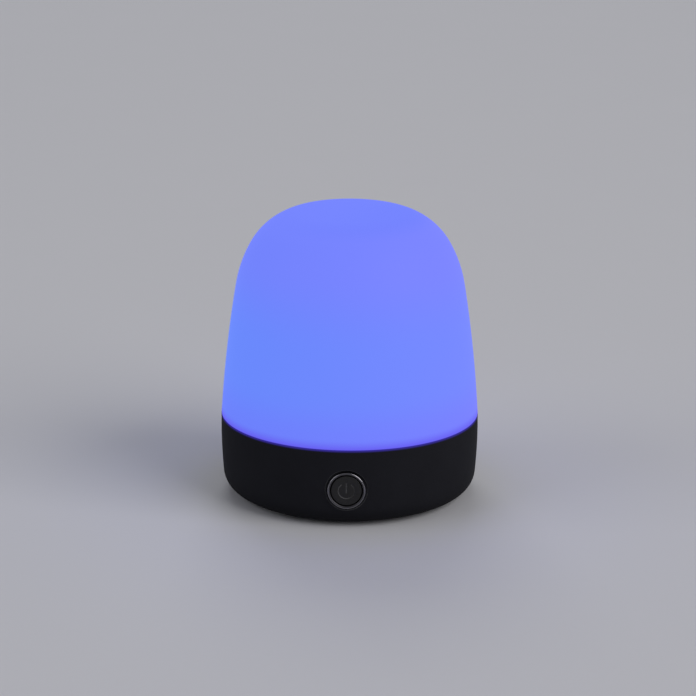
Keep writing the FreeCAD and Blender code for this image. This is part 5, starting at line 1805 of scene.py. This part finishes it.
@dataclass
class Studio:
    """A plain pale floor, soft lights and the camera."""

    aim_height: float = 62.06 * MM
    distance: float = 1.0
    elevation: float = math.radians(16.203)
    azimuth: float = math.radians(1.2)
    roll: float = math.radians(0.31)
    lens: float = 121.42
    shift: Point = (-0.0029, 0.0004)
    floor_half: float = 12.0
    sensor: float = 36.0
    clip: Point = (0.01, 20.0)
    surround: Colour = (0.62, 0.63, 0.68)
    surround_strength: float = 0.32
    lights: tuple[SoftLight, ...] = (
        SoftLight("key_light", (4.2, -2.7, 3.33), 4.5, 180.0, (1.0, 0.985, 0.97)),
        SoftLight("fill_light", (-4.65, -1.8, 2.88), 3.9, 49.5, (0.96, 0.97, 1.0)),
        SoftLight("back_light", (-0.6, 4.5, 4.08), 3.0, 63.0, (0.97, 0.98, 1.0)),
    )

    def camera(self) -> None:
        """Set the camera on the button's side, looking down a little."""
        data = bpy.data.cameras.new("camera")
        data.lens = self.lens
        data.sensor_width = self.sensor
        data.shift_x, data.shift_y = self.shift
        data.clip_start, data.clip_end = self.clip
        camera = bpy.data.objects.new("camera", data)
        bpy.context.scene.collection.objects.link(camera)
        flat = math.cos(self.elevation) * self.distance
        offset = Vector((math.sin(self.azimuth) * flat, -math.cos(self.azimuth) * flat,
                         math.sin(self.elevation) * self.distance))
        camera.location = Vector((0.0, 0.0, self.aim_height)) + offset
        look = (-offset).to_track_quat("-Z", "Y").to_matrix().to_4x4()
        turned = look @ Matrix.Rotation(self.roll, 4, "Z")
        camera.rotation_euler = turned.to_euler()
        bpy.context.scene.camera = camera

    def floor(self) -> None:
        """Lay the floor."""
        mesh = bpy.data.meshes.new("floor")
        h = self.floor_half
        mesh.from_pydata([(-h, -h, 0), (h, -h, 0), (h, h, 0), (-h, h, 0)], [], [(0, 1, 2, 3)])
        floor = new_piece("floor", mesh)
        FLOOR.put_on(floor)

    def build(self) -> None:
        """Set up the floor, the lights, the pale surround and the camera."""
        self.floor()
        for light in self.lights:
            light.hang(Vector((0.0, 0.0, self.aim_height)))
        world = bpy.data.worlds.new("surround")
        world.use_nodes = True
        ground = world.node_tree.nodes["Background"]
        Bench(world.node_tree).feed(ground.inputs["Color"], self.surround)
        ground.inputs["Strength"].default_value = self.surround_strength
        bpy.context.scene.world = world
        bpy.context.scene.view_settings.view_transform = "Standard"
        self.camera()


def main() -> None:
    """Build every sub-assembly in order, then the studio."""
    logging.basicConfig(level=logging.INFO, format="%(message)s", stream=sys.stdout)
    lathe, planter, rows = Lathe(), Planter(), TwinRows()
    parts = (LightDome(lathe), Base(lathe, planter), Fastenings(lathe, planter), PowerButton(lathe),
             ChargingPort(rows), Electronics(rows, planter))
    for part in parts:
        part.build()
        LOG.info("built %s", type(part).__name__)
    Studio().build()


if __name__ == "__main__":
    main()
